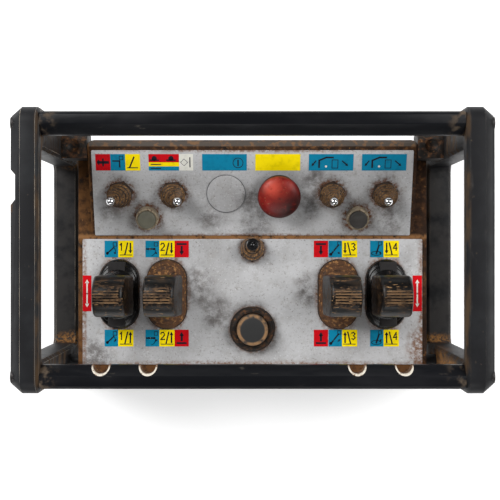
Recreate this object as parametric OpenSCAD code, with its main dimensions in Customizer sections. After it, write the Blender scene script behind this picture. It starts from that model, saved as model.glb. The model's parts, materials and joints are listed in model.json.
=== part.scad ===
// Radio control station for a machine: a grey-faced control housing slung in a protective frame.
// +X is to the operator's right, -Y faces the operator, +Z is up out of the control panel.
// The origin is on the surface the station stands on, under the middle of the frame.

/* [Frame] */
// Overall width across the two end frames
frame_w = 312.6; // [300:0.2:380]
// Overall depth of an end frame
frame_d = 186.4; // [184:0.2:225]
// Overall height of an end frame
frame_h = 170; // [155:1:210]
// Width of an end frame's bars, across the station
bar_w = 19; // [17:0.5:26]
// Thickness of an end frame's front posts
post_front_t = 21; // [18:0.5:26]
// Thickness of an end frame's back posts
post_back_t = 27.2; // [20:0.2:30]
// Thickness of an end frame's top bars
bar_top_t = 12; // [10:0.5:24]
// Thickness of an end frame's bottom bars
bar_foot_t = 21; // [16:0.5:24]
// Radius of an end frame's outer corners
frame_r = 11; // [6:1:16]
// Width of the chamfer along an end frame's outer edges
bar_chamfer = 7; // [3:0.5:8]
// Width of the chamfer along an end frame's inner edges
inner_chamfer = 2.2; // [1:0.2:4]
// Depth of the finger notch in the left end frame
notch_depth = 3.5; // [2:0.5:5]
// Length of the finger notch
notch_len = 23; // [15:1:40]

/* [Rails] */
// Depth of a rail's section
rail_d = 15; // [12:0.5:18]
// Height of a rail's section
rail_h = 14; // [12:0.5:18]
// Inset of a rail's outer face from the end frame's face
rail_inset = 3.7; // [1:0.1:6]
// Drop of a rail's top face below the end frame's top
rail_drop = 2; // [0:0.5:4]
// Size of a rail's sloping inner facet
rail_facet = 6.5; // [3:0.5:8]
// Radius of a strap notch in the front rail
strap_r = 6.05; // [4:0.05:6.5]
// Wall of the bush that lines a strap notch
strap_wall = 1; // [0.6:0.1:1.5]
// Distance from the middle to an inner strap notch
strap_x_in = 67.7; // [50:0.1:80]
// Distance from the middle to an outer strap notch
strap_x_out = 98.2; // [90:0.1:115]

/* [Housing] */
// Gap between the housing's side and an end frame
side_gap = 8.9; // [5:0.1:12]
// Housing's front face, in front of the middle
front_y = 92; // [88:1:100]
// Housing's back face, behind the middle
back_y = 79.3; // [77:0.1:95]
// Height of the housing's underside
floor_z = 11; // [6:1:16]
// Height of the joint between the lower housing and the gasket
split_z = 44; // [40:1:50]
// Thickness of the housing gasket
gasket_t = 2; // [1:0.5:3]
// Height of the cover's level face
cover_z = 70; // [66:1:80]
// Wall of both housing shells
wall = 3; // [2:0.5:4]
// Radius of the housing's upright corners
housing_r = 5; // [3:0.5:8]

/* [Panel] */
// Thickness of the two front plates
plate_t = 1; // [0.8:0.1:2]
// Level plate's front edge, in front of the middle
plate_front = 84.2; // [83:0.2:86]
// Black margin left round a front plate
plate_margin = 3.2; // [2:0.1:5]
// Where the level face folds up into the console, behind the middle
fold_y = 9.75; // [9:0.25:14]
// Tilt of the console
tilt = 18.6; // [10:0.2:24]
// Length of the console's slope
slope_len = 68.2; // [66:0.2:70]
// Level ledge left at each side of the console
ledge_w = 10; // [8:0.5:14]
// Distance between neighbouring devices on the console
device_pitch = 38.4; // [36:0.2:39]
// Slope distance from the fold to the row of switches
device_v = 33.5; // [31:0.5:36]
// Slope distance from the fold to the two push-buttons
button_v = 15.5; // [14:0.5:17]

/* [Switches] */
// Width across flats of a hex boot nut
nut_af = 17; // [15:0.5:17.5]
// Height of a hex boot nut
nut_h = 5; // [3:0.5:7]
// Diameter of a switch's threaded bush
bush_d = 12; // [11:0.5:13]
// Throw of a toggle lever to each side
toggle_throw = 12; // [6:1:13]
// Height of a toggle lever's tip above its pivot
toggle_len = 21; // [18:0.5:28]
// Diameter of the emergency stop's mushroom head
stop_d = 31; // [26:0.5:36]
// Push travel of the emergency stop
stop_travel = 4; // [2:0.5:5]
// Diameter of the enabling button's cap
enable_d = 23; // [20:0.5:25]
// Push travel of the enabling button
enable_travel = 3; // [1:0.5:4]
// Diameter of a small push-button's cap
button_d = 12.9; // [10:0.1:14]
// Push travel of a small push-button
button_travel = 1.5; // [1:0.5:3]

/* [Levers] */
// Distance from the middle to an inner lever
lever_x_in = 62.9; // [60:0.1:64]
// Distance from the middle to an outer lever
lever_x_out = 98; // [97:0.5:100]
// Levers' place in front of the middle
lever_y = 32.3; // [31:0.1:34]
// Depth of a lever's pivot under the cover's top wall
pivot_drop = 3; // [3:0.2:7]
// Width of a paddle
paddle_w = 25.5; // [22:0.5:28]
// Depth of a paddle at its base
paddle_d = 29; // [24:0.5:32]
// Height of a paddle's underside above its pivot
paddle_low = 25; // [24:0.5:28]
// Height of a paddle's crest above its pivot
paddle_high = 60; // [52:0.5:66]
// Diameter of a lever's stem
stem_d = 8; // [6:0.5:9]
// Diameter of a lever's axle
axle_d = 5; // [4:0.5:6]

/* [Hidden] */
$fn = 48;

run_gap = 0.05;                              // radial clearance of a running or threaded fit
hole_gap = 0.2;                              // radial clearance round a fixed bush or bolt
soft_gap = 0.4;                              // clearance round a soft piece

// Frame
half_w = frame_w / 2;
half_d = frame_d / 2;
loop_in = half_w - bar_w;                    // end frame's inner face
rail_out = half_d - rail_inset;              // rail's outer face
rail_in = rail_out - rail_d;                 // rail's inner face
rail_top = frame_h - rail_drop;
rail_cy = (rail_out + rail_in) / 2;
rail_cz = rail_top - rail_h / 2;
rail_screw_d = 6;
rail_screw_len = 40;                         // measured from the end frame's outer face
screw_head_h = 3;
screw_head_proud = 0.2;
screw_head_d = 9;
strap_depth = strap_r + 0.5;                 // how far a strap notch reaches into the rail
strap_xs = [-strap_x_out, -strap_x_in, strap_x_in, strap_x_out];
notch_y = 29;                                // front end of the finger notch

// Housing
side_x = loop_in - side_gap;                 // housing's side
split_top = split_z + gasket_t;
inner_x = side_x - wall;
pivot_z = cover_z - wall - pivot_drop;       // height of the levers' pivots
boss_r = 5;
boss_x = inner_x - boss_r - 2.4;
boss_front = front_y - wall - boss_r - 2;
boss_back = back_y - wall - boss_r - 2.3;
boss_spots = [for (x = [-boss_x, boss_x], y = [-boss_front, 0, boss_back]) [x, y]];
cover_screw_d = 4;
cover_head_d = 7.5;
cover_head_h = 3;
cover_head_sink = 8;
cover_screw_len = split_top + 14 - (floor_z + cover_head_sink);

// Bolts that carry the housing in the frame: one through each post, and one through each rear lug
bolt_d = 5;
bolt_head_d = 8.5;
bolt_head_h = 5;
bolt_sink = 5;
bolt_len = bar_w - bolt_sink + side_gap + wall + 3.4;
bolt_z = (split_top + cover_z) / 2 - 1;
buffer_r = 5;
buffer_back = half_d - post_back_t + buffer_r + 3.5;
buffer_front = front_y - housing_r - 4;
wall_boss_r = 6;
wall_boss_len = 4.4;
console_x = side_x - ledge_w;                // console's side
lug_front = half_d - post_back_t;
lug_back = half_d - 9.2;
lug_top = cover_z + 21;
lug_z = cover_z + 11;
lug_y = (lug_front + lug_back) / 2;

// Console
fold_back = wall * tan(tilt / 2);
slope_end = [fold_y + slope_len * cos(tilt), cover_z + slope_len * sin(tilt)];
plate_v0 = 1.5;
plate_v1 = slope_len - 2.7;
plate_x = console_x - 2.6;

// Devices on the console, left to right
toggle_xs = [-2.5, -1.5, 1.5, 2.5] * device_pitch;
toggle_rest = [-toggle_throw, toggle_throw, 0, 0];
nut_turns = [14, 6, 22, 17];
blank_x = -device_pitch / 2;
stop_x = device_pitch / 2;
button_xs = [-2, 2] * device_pitch;
bush_top = plate_t + nut_h + 1;
bush_hole_r = bush_d / 2 + hole_gap;
toggle_rod_d = 4;
toggle_tip_d = 6;
toggle_pivot_w = plate_t + 1;
toggle_pin_d = 2;
toggle_pin_len = bush_d - 1;
toggle_box = [13, 20, 24];
boot_low = nut_h + 2.4;                      // boot's lower rim above the pivot
boot_high = 16;
boot_r_low = 6.6;
boot_r_high = 3.4;
boot_rings = 4;

// Emergency stop
stop_bush_d = 22;
stop_bush_len = 13;
stop_bore_d = 14.2;
stop_collar_d = 28;
stop_collar_h = 3;
stop_head_low = plate_t + stop_collar_h + stop_travel + 0.6;
stop_head_h = 8.5;
stop_stem_d = 8;
stop_pin_r = 2.5;                            // pin that the mushroom head turns on
stop_block = [26, 26, 20];

// Enabling button, and the centre switch
enable_y = -58;
enable_bezel_d = 34;
enable_bezel_h = 5;
enable_bush_d = 27;
enable_top = cover_z + plate_t + 13;
enable_low = cover_z - 6;
enable_peg = 4;
enable_switch_top = enable_low - enable_peg - enable_travel - 1;
centre_y = 0.9;
centre_lean = 12;
centre_tip_d = 8.6;
centre_len = 16;

// Small push-buttons
button_bezel_d = 16;
button_bezel_h = 6;
button_high = plate_t + 8;

// Levers, left to right
lever_xs = [-lever_x_out, -lever_x_in, lever_x_in, lever_x_out];
hub_r = 6.5;
hub_w = stem_d + 0.4;
slot_w = hub_w + 5.6;
bracket = [28, 40];
bracket_low = split_top - 1;
plate_slot = [20, 34];
ring_size = [30, 51.6];
ring_h = 2.5;
gaiter_top = pivot_z + paddle_low - soft_gap;
gaiter_low = cover_z + plate_t + ring_h;
gaiter_tiers = 3;
crest_ribs = 5;
rib_pitch = 2;
rib_r = 0.7;
arch_h = 16;

// Inside the housing
board = [220, 84, 1.6];
board_y = -36;
board_z = floor_z + wall + 10;
standoff_r = 3.5;
board_spots = [for (x = [-104, 104], y = [-72, 0]) [x, y]];
bay_x = 46;
bay_y0 = 16;
bay_y1 = back_y - wall - 6.3;
bay_top = split_z - 6;
bay_wall = 2;
bay_post_r = 4;
pack_x = bay_x - 2 * bay_post_r - 1;
bay_spots = [for (x = [-bay_x + 4, bay_x - 4], y = [bay_y0 + 4, bay_y1 - 4]) [x, y]];
small_screw_d = 3;
small_screw_len = 8;
small_head_d = 5.5;
small_head_h = 2;

// ---- shapes used by more than one piece ----

// Flat rectangle with round corners, from its low corner to its high one
module round_rect(x0, y0, x1, y1, r) {
    translate([x0 + r, y0]) square([x1 - x0 - 2 * r, y1 - y0]);
    translate([x0, y0 + r]) square([x1 - x0, y1 - y0 - 2 * r]);
    for (x = [x0 + r, x1 - r], y = [y0 + r, y1 - r]) translate([x, y]) circle(r);
}

// Flat slot shape with round ends, its long side along Y
module obround(w, l) {
    for (s = [-1, 1]) translate([0, s * (l - w) / 2]) circle(d = w);
    translate([-w / 2, -(l - w) / 2]) square([w, l - w]);
}

// Stands a YZ outline up and draws it along X, centred
module along_x(len) {
    rotate([90, 0, 90]) translate([0, 0, -len / 2]) linear_extrude(len) children();
}

// Rod along X from x0 to x1
module rod_x(x0, x1, d) {
    translate([x0, 0, 0]) rotate([0, 90, 0]) cylinder(d = d, h = x1 - x0);
}

// Places a piece on the sloping console: X across, Y up the slope, Z square to it
module on_console(x = 0, v = 0) {
    translate([x, fold_y, cover_z]) rotate([tilt, 0, 0]) translate([0, v, 0]) children();
}

// Screw with a flat-topped round head: the head's underside is at 0 and the shank runs down
module screw(d, len, head_d, head_h, socket = 0.45) {
    difference() {
        union() {
            translate([0, 0, -len]) cylinder(d = d, h = len);
            cylinder(d = head_d, h = head_h);
        }
        translate([0, 0, head_h * 0.45]) cylinder(d = head_d * socket, h = head_h, $fn = 6);
    }
}

// Helical spring standing on the XY plane
function coil_ring(r, wire, turn, rise, sides) =
    [for (j = [0:sides - 1]) let (b = 360 * j / sides, q = r + wire * cos(b))
        [q * cos(turn), q * sin(turn), rise + wire * sin(b)]];
module coil(r, wire, height, turns, sides = 8, steps = 16) {
    n = turns * steps;
    pts = [for (i = [0:n], p = coil_ring(r, wire, 360 * i / steps,
        wire + (height - 2 * wire) * i / n, sides)) p];
    walls = [for (i = [0:n - 1], j = [0:sides - 1]) let (k = (j + 1) % sides)
        [i * sides + j, (i + 1) * sides + j, (i + 1) * sides + k, i * sides + k]];
    foot = [for (j = [0:sides - 1]) j];
    head = [for (j = [sides - 1:-1:0]) n * sides + j];
    polyhedron(pts, concat(walls, [foot], [head]), convexity = 8);
}

// ---- protective frame ----

// Solid block of an end frame, its inner face at x0 and its outer face at x1: round corners,
// and each rim chamfered by its own width and nearly as deep
module chamfered_block(x0, x1, y, z0, z1, r) {
    hull() {
        translate([x0 + inner_chamfer, 0, 0]) rotate([90, 0, 90])
            linear_extrude(x1 - x0 - inner_chamfer - bar_chamfer)
                round_rect(-y, z0, y, z1, r, $fn = 32);
        for (rim = [[x0, inner_chamfer], [x1 - 0.01, 0.85 * bar_chamfer]])
            translate([rim[0], 0, 0]) rotate([90, 0, 90]) linear_extrude(0.01)
                round_rect(rim[1] - y, z0 + rim[1], y - rim[1], z1 - rim[1],
                    max(r - rim[1], 1), $fn = 32);
    }
}

// End frame on the side given: -1 is the left one
module end_frame(side) {
    window_front = half_d - post_front_t;
    window_back = half_d - post_back_t;
    cx = side * (half_w - bar_w / 2);
    lip = 2;
    difference() {
        mirror([side < 0 ? 1 : 0, 0, 0])
            chamfered_block(loop_in, half_w, half_d, 0, frame_h, frame_r);
        translate([cx, 0, 0]) along_x(bar_w + 2)
            round_rect(-window_front, bar_foot_t, window_back, frame_h - bar_top_t, 5);
        for (s = [-1, 1]) hull() {
            translate([cx + s * (bar_w / 2 - lip), 0, 0]) along_x(0.01)
                round_rect(-window_front, bar_foot_t, window_back, frame_h - bar_top_t, 5,
                    $fn = 32);
            translate([cx + s * (bar_w / 2 + 1), 0, 0]) along_x(0.01)
                round_rect(-window_front - lip - 1, bar_foot_t - lip - 1,
                    window_back + lip + 1, frame_h - bar_top_t + lip + 1, 6 + lip, $fn = 32);
        }
        for (y = [-rail_cy, rail_cy]) translate([0, y, rail_cz]) {
            rod_x(side > 0 ? loop_in - 1 : -half_w - 1, side > 0 ? half_w + 1 : -loop_in + 1,
                rail_screw_d + 2 * hole_gap);
            rod_x(side > 0 ? half_w - screw_head_h + screw_head_proud : -half_w - 1,
                side > 0 ? half_w + 1 : -half_w + screw_head_h - screw_head_proud,
                screw_head_d + 2 * hole_gap);
        }
        for (p = bolt_spots()) translate([0, p[0], p[1]]) {
            rod_x(side > 0 ? loop_in - 1 : -half_w - 1, side > 0 ? half_w + 1 : -loop_in + 1,
                bolt_d + 2 * hole_gap);
            rod_x(side > 0 ? half_w - bolt_sink : -half_w - 1,
                side > 0 ? half_w + 1 : -half_w + bolt_sink, bolt_head_d + 2 * hole_gap);
        }
        if (side < 0) translate([-half_w - 1, notch_y, frame_h - bar_top_t - 1])
            linear_extrude(bar_top_t + 2) polygon([[0, 0], [1, 0], [1 + notch_depth, notch_depth],
                [1 + notch_depth, notch_len - notch_depth], [1, notch_len], [0, notch_len]]);
    }
}
function bolt_spots() = [[-buffer_front, bolt_z], [buffer_back, bolt_z], [lug_y, lug_z]];

// Rail outline in Y and Z, with its outer face towards +Y
module rail_outline() {
    c = 2;
    polygon([[rail_in, rail_top - rail_h + c], [rail_in + c, rail_top - rail_h],
        [rail_out - c, rail_top - rail_h], [rail_out, rail_top - rail_h + c],
        [rail_out, rail_top - c], [rail_out - c, rail_top],
        [rail_in + rail_facet, rail_top], [rail_in, rail_top - rail_facet]]);
}
module rail_screw_holes() {
    for (s = [-1, 1]) translate([0, rail_cy, rail_cz])
        rod_x(s > 0 ? half_w - rail_screw_len - 1 : -loop_in - 1,
            s > 0 ? loop_in + 1 : -half_w + rail_screw_len + 1, rail_screw_d + 2 * run_gap);
}

// Rounded notch for a strap hook, open towards the panel: its outline in X and Y
module strap_notch(r) {
    translate([0, -(rail_in + strap_depth - strap_r)]) {
        circle(r);
        translate([-r, 0]) square([2 * r, strap_depth]);
    }
}

module end_frame_left() color("#1b1c1e") end_frame(-1);
module end_frame_right() color("#1b1c1e") end_frame(1);
module back_rail() color("#202226") difference() {
    along_x(2 * loop_in) rail_outline();
    rail_screw_holes();
}
module front_rail() color("#202226") difference() {
    mirror([0, 1, 0]) difference() {
        along_x(2 * loop_in) rail_outline();
        rail_screw_holes();
    }
    for (x = strap_xs) translate([x, 0, rail_top - rail_h - 1])
        linear_extrude(rail_h + 2) strap_notch(strap_r);
}
module strap_bushes() color("#d9d3c6") for (x = strap_xs) translate([x, 0, 0])
    intersection() {
        translate([0, 0, rail_top - rail_h]) linear_extrude(rail_h) difference() {
            strap_notch(strap_r);
            strap_notch(strap_r - strap_wall);
        }
        mirror([0, 1, 0]) along_x(3 * strap_r) rail_outline();
    }
module rail_screws() color("#3a3c40") for (s = [-1, 1], y = [-rail_cy, rail_cy])
    translate([s * (half_w + screw_head_proud - screw_head_h), y, rail_cz])
        rotate([0, s * 90, 0])
            screw(rail_screw_d, rail_screw_len - screw_head_h + screw_head_proud,
                screw_head_d, screw_head_h);
module frame_bolts() color("#4a4a4c") for (s = [-1, 1], p = bolt_spots())
    translate([s * (half_w - bolt_sink), p[0], p[1]]) rotate([0, s * 90, 0])
        screw(bolt_d, bolt_len, bolt_head_d, bolt_head_h - 1);
module rubber_buffers() color("#151515") for (s = [-1, 1], y = [-buffer_front, buffer_back])
    translate([0, y, bolt_z]) difference() {
        rod_x(s > 0 ? side_x : -loop_in, s > 0 ? loop_in : -side_x, 2 * buffer_r);
        rod_x(s > 0 ? side_x - 1 : -loop_in - 1, s > 0 ? loop_in + 1 : -side_x + 1,
            bolt_d + 2 * hole_gap);
    }
module rear_lugs() color("#2a2420") for (s = [-1, 1]) difference() {
    x0 = console_x + 0.5;
    translate([s > 0 ? x0 : -loop_in, lug_front, cover_z])
        cube([loop_in - x0, lug_back - lug_front, lug_top - cover_z]);
    // sloping back, and a scooped top that catches dust
    along_x(2 * loop_in + 2)
        polygon([[lug_back - 6, lug_top + 1], [lug_back + 1, lug_top + 1],
            [lug_back + 1, lug_top - 6]]);
    translate([s * (loop_in - 8), lug_y, lug_top + 3]) sphere(r = 6);
    translate([0, lug_y, lug_z])
        rod_x(s > 0 ? loop_in - bolt_len : -loop_in - 1, s > 0 ? loop_in + 1 : bolt_len - loop_in,
            bolt_d + 2 * run_gap);
}

// ---- housing ----

module lower_housing() color("#202124") difference() {
    translate([0, 0, floor_z]) linear_extrude(split_z - floor_z)
        round_rect(-side_x, -front_y, side_x, back_y, housing_r);
    difference() {
        translate([0, 0, floor_z + wall]) linear_extrude(split_z)
            round_rect(-inner_x, wall - front_y, inner_x, back_y - wall, housing_r - wall / 2);
        for (p = boss_spots) translate([p[0], p[1], floor_z])
            cylinder(r = boss_r, h = split_z - floor_z);
        for (p = board_spots) translate([p[0], p[1], floor_z])
            cylinder(r = standoff_r, h = board_z - floor_z);
        translate([-bay_x - bay_wall, bay_y0 - bay_wall, floor_z])
            cube([2 * (bay_x + bay_wall), bay_y1 - bay_y0 + 2 * bay_wall,
                bay_top + bay_wall - floor_z]);
    }
    difference() {
        translate([-bay_x, bay_y0, floor_z - 1])
            cube([2 * bay_x, bay_y1 - bay_y0, bay_top - floor_z + 1]);
        for (p = bay_spots) translate([p[0], p[1], floor_z + wall])
            cylinder(r = bay_post_r, h = bay_top - floor_z);
    }
    for (p = boss_spots) translate([p[0], p[1], floor_z - 1]) {
        cylinder(d = cover_screw_d + 2 * hole_gap, h = split_z);
        cylinder(d = cover_head_d + 2 * hole_gap, h = cover_head_sink + 1);
    }
    for (p = board_spots) translate([p[0], p[1], board_z - small_screw_len + board[2]])
        cylinder(d = small_screw_d + 2 * run_gap, h = small_screw_len);
    for (p = bay_spots) translate([p[0], p[1], floor_z + wall - 0.1])
        cylinder(d = small_screw_d + 2 * run_gap, h = small_screw_len);
}
module housing_gasket() color("#0f0f10") translate([0, 0, split_z])
    linear_extrude(gasket_t) difference() {
        round_rect(-side_x, -front_y, side_x, back_y, housing_r);
        difference() {
            round_rect(-inner_x, wall - front_y, inner_x, back_y - wall, housing_r - wall / 2);
            for (p = boss_spots) translate(p) circle(boss_r);
        }
        for (p = boss_spots) translate(p) circle(d = cover_screw_d + 2 * hole_gap);
    }

// Console outline in Y and Z
module console_outline() {
    polygon([[fold_y, cover_z], slope_end,
        [slope_end[0] + 0.57 * (back_y - slope_end[0]), slope_end[1] - 0.5],
        [back_y, slope_end[1] - 2.7], [back_y, cover_z - wall], [fold_y, cover_z - wall]]);
}
module console_hollow() {
    y0 = fold_y + fold_back;
    y1 = back_y - wall;
    polygon([[y0, cover_z - wall], [y1, cover_z - wall + (y1 - y0) * tan(tilt)],
        [y1, cover_z - wall - 1], [y0, cover_z - wall - 1]]);
}
module top_cover() color("#202124") difference() {
    union() {
        translate([0, 0, split_top]) linear_extrude(cover_z - split_top)
            round_rect(-side_x, -front_y, side_x, back_y, housing_r);
        intersection() {
            along_x(2 * console_x) console_outline();
            linear_extrude(2 * cover_z)
                round_rect(-console_x, -front_y, console_x, back_y, housing_r);
        }
    }
    difference() {
        union() {
            translate([0, 0, split_top - 1]) linear_extrude(cover_z - wall - split_top + 1)
                round_rect(-inner_x, wall - front_y, inner_x, back_y - wall,
                    housing_r - wall / 2);
            along_x(2 * (console_x - wall)) console_hollow();
        }
        for (p = boss_spots) translate([p[0], p[1], split_top])
            cylinder(r = boss_r, h = 2 * cover_z);
        for (y = [-buffer_front, buffer_back]) translate([0, y, bolt_z]) {
            rod_x(inner_x - wall_boss_len, inner_x + 1, 2 * wall_boss_r);
            rod_x(-inner_x - 1, wall_boss_len - inner_x, 2 * wall_boss_r);
        }
    }
    for (p = boss_spots) translate([p[0], p[1], split_top - 1])
        cylinder(d = cover_screw_d + 2 * run_gap, h = cover_z - wall - split_top + 1);
    for (y = [-buffer_front, buffer_back], s = [-1, 1]) translate([0, y, bolt_z])
        rod_x(s > 0 ? inner_x - wall_boss_len + 0.5 : -side_x - 1,
            s > 0 ? side_x + 1 : wall_boss_len - 0.5 - inner_x, bolt_d + 2 * run_gap);
    translate([0, 0, cover_z - wall - 1]) level_holes(wall + 2);
    on_console() translate([0, 0, -wall - 1]) console_holes(wall + 2);
}
// Holes through the level face, shared by the cover and its plate
module level_holes(h) {
    for (x = lever_xs) translate([x, -lever_y, 0]) linear_extrude(h)
        obround(plate_slot[0], plate_slot[1]);
    translate([0, enable_y, 0]) cylinder(d = enable_bush_d + 2 * hole_gap, h = h);
    translate([0, centre_y, 0]) cylinder(r = bush_hole_r, h = h);
}
// Holes through the console, shared by the cover and its plate
module console_holes(h) {
    for (x = toggle_xs) translate([x, device_v, 0]) cylinder(r = bush_hole_r, h = h);
    translate([stop_x, device_v, 0]) cylinder(d = stop_bush_d + 2 * hole_gap, h = h);
    for (x = button_xs) translate([x, button_v, 0])
        cylinder(d = button_bezel_d - 1, h = h);
}
module cover_screws() color("#55565a") for (p = boss_spots)
    translate([p[0], p[1], floor_z + cover_head_sink]) mirror([0, 0, 1])
        screw(cover_screw_d, cover_screw_len, cover_head_d, cover_head_h);
module lever_plate() color("#aeb0b1") translate([0, 0, cover_z]) difference() {
    linear_extrude(plate_t) round_rect(plate_margin - side_x, -plate_front,
        side_x - plate_margin, fold_y - 1.45, 1);
    translate([0, 0, -1]) level_holes(plate_t + 2);
}
module switch_plate() color("#aeb0b1") on_console() difference() {
    linear_extrude(plate_t) round_rect(-plate_x, plate_v0, plate_x, plate_v1, 1);
    translate([0, 0, -1]) console_holes(plate_t + 2);
}
module blanking_disc() color("#b4b6b7") on_console(blank_x, device_v)
    translate([0, 0, plate_t]) cylinder(d = 28, h = 0.6);

// ---- console switches ----

// Cross pin that a switch's lever turns on, along Y through the origin
module switch_pin(d, len) rotate([90, 0, 0]) cylinder(d = d, h = len, center = true);
// Body below the panel and threaded bush through it; top of the bush at bush_top
module switch_body(box) difference() {
    union() {
        translate([-box[0] / 2, -box[1] / 2, -wall - box[2]]) cube(box);
        translate([0, 0, -wall - 1]) cylinder(r = bush_d / 2, h = bush_top + wall + 1);
    }
    translate([0, 0, toggle_pivot_w - 4]) cylinder(r = 4, h = bush_top + 5);
    translate([0, 0, toggle_pivot_w]) switch_pin(toggle_pin_d + 2 * run_gap, bush_d + 1);
}
// Lever of a switch, its pivot at the origin
module switch_lever(len, rod, tip) {
    sphere(d = rod + 1);
    switch_pin(toggle_pin_d, toggle_pin_len);
    cylinder(d = rod, h = len - 2);
    translate([0, 0, len - 5]) cylinder(d1 = rod, d2 = tip, h = 2);
    translate([0, 0, len - 3]) cylinder(d = tip, h = 3);
    translate([0, 0, len]) intersection() {
        sphere(d = tip);
        cylinder(d = tip, h = tip);
    }
}
// Ribbed rubber boot round a lever, its pivot at the origin
module boot(rod) difference() {
    step = (boot_high - boot_low) / boot_rings;
    for (i = [0:boot_rings - 1]) {
        r = boot_r_low + (boot_r_high - boot_r_low) * i / (boot_rings - 1);
        translate([0, 0, boot_low + i * step]) cylinder(r1 = r, r2 = r - 0.9, h = step);
    }
    cylinder(d = rod + 2 * soft_gap, h = 2 * boot_high);
}
module hex_nut() difference() {
    union() {
        cylinder(d = nut_af / cos(30), h = nut_h - 1, $fn = 6);
        cylinder(d = nut_af, h = nut_h);
    }
    translate([0, 0, -1]) cylinder(r = bush_d / 2 + run_gap, h = nut_h + 2);
}
module toggle_bodies() color("#27272a") for (x = toggle_xs)
    on_console(x, device_v) switch_body(toggle_box);
module boot_nuts() color("#4a3d33") {
    for (i = [0:3]) on_console(toggle_xs[i], device_v) translate([0, 0, plate_t])
        rotate([0, 0, nut_turns[i]]) hex_nut();
    translate([0, centre_y, cover_z + plate_t]) rotate([0, 0, 30]) hex_nut();
}
module toggle_lever(i) color("#d8d9db") on_console(toggle_xs[i], device_v)
    translate([0, 0, toggle_pivot_w]) rotate([0, toggle_rest[i], 0])
        switch_lever(toggle_len, toggle_rod_d, toggle_tip_d);
module toggle_boots() color("#2b2420") for (i = [0:3]) on_console(toggle_xs[i], device_v)
    translate([0, 0, toggle_pivot_w]) rotate([0, toggle_rest[i], 0]) boot(toggle_rod_d);

module on_stop() on_console(stop_x, device_v) children();
module stop_collar() color("#202124") on_stop() difference() {
    union() {
        translate([0, 0, plate_t]) cylinder(d = stop_collar_d, h = stop_collar_h);
        translate([0, 0, -stop_bush_len]) cylinder(d = stop_bush_d, h = stop_bush_len + plate_t);
    }
    translate([0, 0, -stop_bush_len - 1]) cylinder(d = stop_bore_d, h = 2 * stop_bush_len);
}
module stop_plunger() color("#3b3b3e") on_stop() {
    translate([0, 0, -stop_bush_len - 1]) cylinder(d = stop_stem_d, h = stop_bush_len + 1);
    translate([0, 0, -5]) cylinder(d = stop_bore_d - 2 * run_gap, h = 7);
    cylinder(r = stop_pin_r - run_gap, h = 4.8);
}
module stop_head() color("#b3191c") on_stop() difference() {
    union() {
        translate([0, 0, stop_head_low]) rotate_extrude() polygon(concat([[0, 0]],
            [for (a = [0:9:90]) [stop_d / 2 - 2 + 2 * sin(a), 2 - 2 * cos(a)]],
            [for (a = [0:6:90]) [(stop_d / 2) * cos(a),
                2 + (stop_head_h - 2) * sin(a)]]));
        translate([0, 0, 2.2]) cylinder(d = stop_bore_d - 0.6, h = stop_head_low - 2);
    }
    translate([0, 0, 2]) cylinder(r = stop_pin_r, h = 3);
}
module stop_spring() color("#9a9da1") on_stop() translate([0, 0, -stop_bush_len + 0.4])
    coil(5.6, 0.5, stop_bush_len - 5.8, 4);
module stop_contacts() color("#c9c4b4") on_stop() difference() {
    translate([-stop_block[0] / 2, -stop_block[1] / 2, -stop_bush_len - stop_block[2]])
        cube(stop_block);
    translate([0, 0, -stop_bush_len - stop_travel - 2]) cylinder(d = stop_stem_d + 2, h = 30);
}

// ---- enabling button and centre switch on the level face ----

module enable_bezel() color("#191a1b") translate([0, enable_y, 0]) difference() {
    union() {
        translate([0, 0, cover_z + plate_t])
            cylinder(d1 = enable_bezel_d, d2 = enable_bezel_d - 4, h = enable_bezel_h);
        translate([0, 0, cover_z - 10]) cylinder(d = enable_bush_d, h = 10 + plate_t);
    }
    translate([0, 0, cover_z - 11]) cylinder(d = enable_d + 2 * run_gap, h = 30);
}
module enable_cap() color("#1d1a18") translate([0, enable_y, 0]) {
    translate([0, 0, enable_low]) rotate_extrude() polygon(concat([[0, 0], [enable_d / 2, 0]],
        [for (a = [0:15:90]) [enable_d / 2 - 1.5 + 1.5 * cos(a),
            enable_top - enable_low - 2 + 1.5 * sin(a)]],
        [[enable_d / 2 - 4, enable_top - enable_low - 0.5], [0, enable_top - enable_low]]));
    translate([0, 0, enable_low - enable_peg]) cylinder(d = 6, h = enable_peg + 1);
}
module enable_spring() color("#9a9da1") translate([0, enable_y, enable_switch_top + 0.3])
    coil(6, 0.5, enable_low - enable_switch_top - 0.6, 4);
module enable_switch() color("#2b2b2d") translate([0, enable_y, board_z + board[2]])
    translate([-12, -12, 0]) cube([24, 24, enable_switch_top - board_z - board[2]]);

module on_centre() translate([0, centre_y, cover_z]) children();
module centre_switch() color("#27272a") on_centre() rotate([0, 0, 90])
    switch_body([13, 14, 20]);
module centre_lever() color("#141414") on_centre() translate([0, 0, toggle_pivot_w])
    rotate([-centre_lean, 0, 0]) difference() {
        union() {
            sphere(d = toggle_rod_d + 1);
            rotate([0, 0, 90]) switch_pin(toggle_pin_d, toggle_pin_len);
            cylinder(d = toggle_rod_d, h = centre_len - 2);
            translate([0, 0, centre_len - 4]) cylinder(d = centre_tip_d, h = 4);
        }
        translate([0, 0, centre_len + 1.2]) sphere(d = 5);
    }
module centre_boot() color("#5a483b") on_centre() translate([0, 0, toggle_pivot_w])
    rotate([-centre_lean, 0, 0]) difference() {
        translate([0, 0, boot_low])
            cylinder(r1 = boot_r_low, r2 = 3.6, h = centre_len - 4 - soft_gap - boot_low);
        cylinder(d = toggle_rod_d + 2 * soft_gap, h = centre_len);
    }

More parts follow.
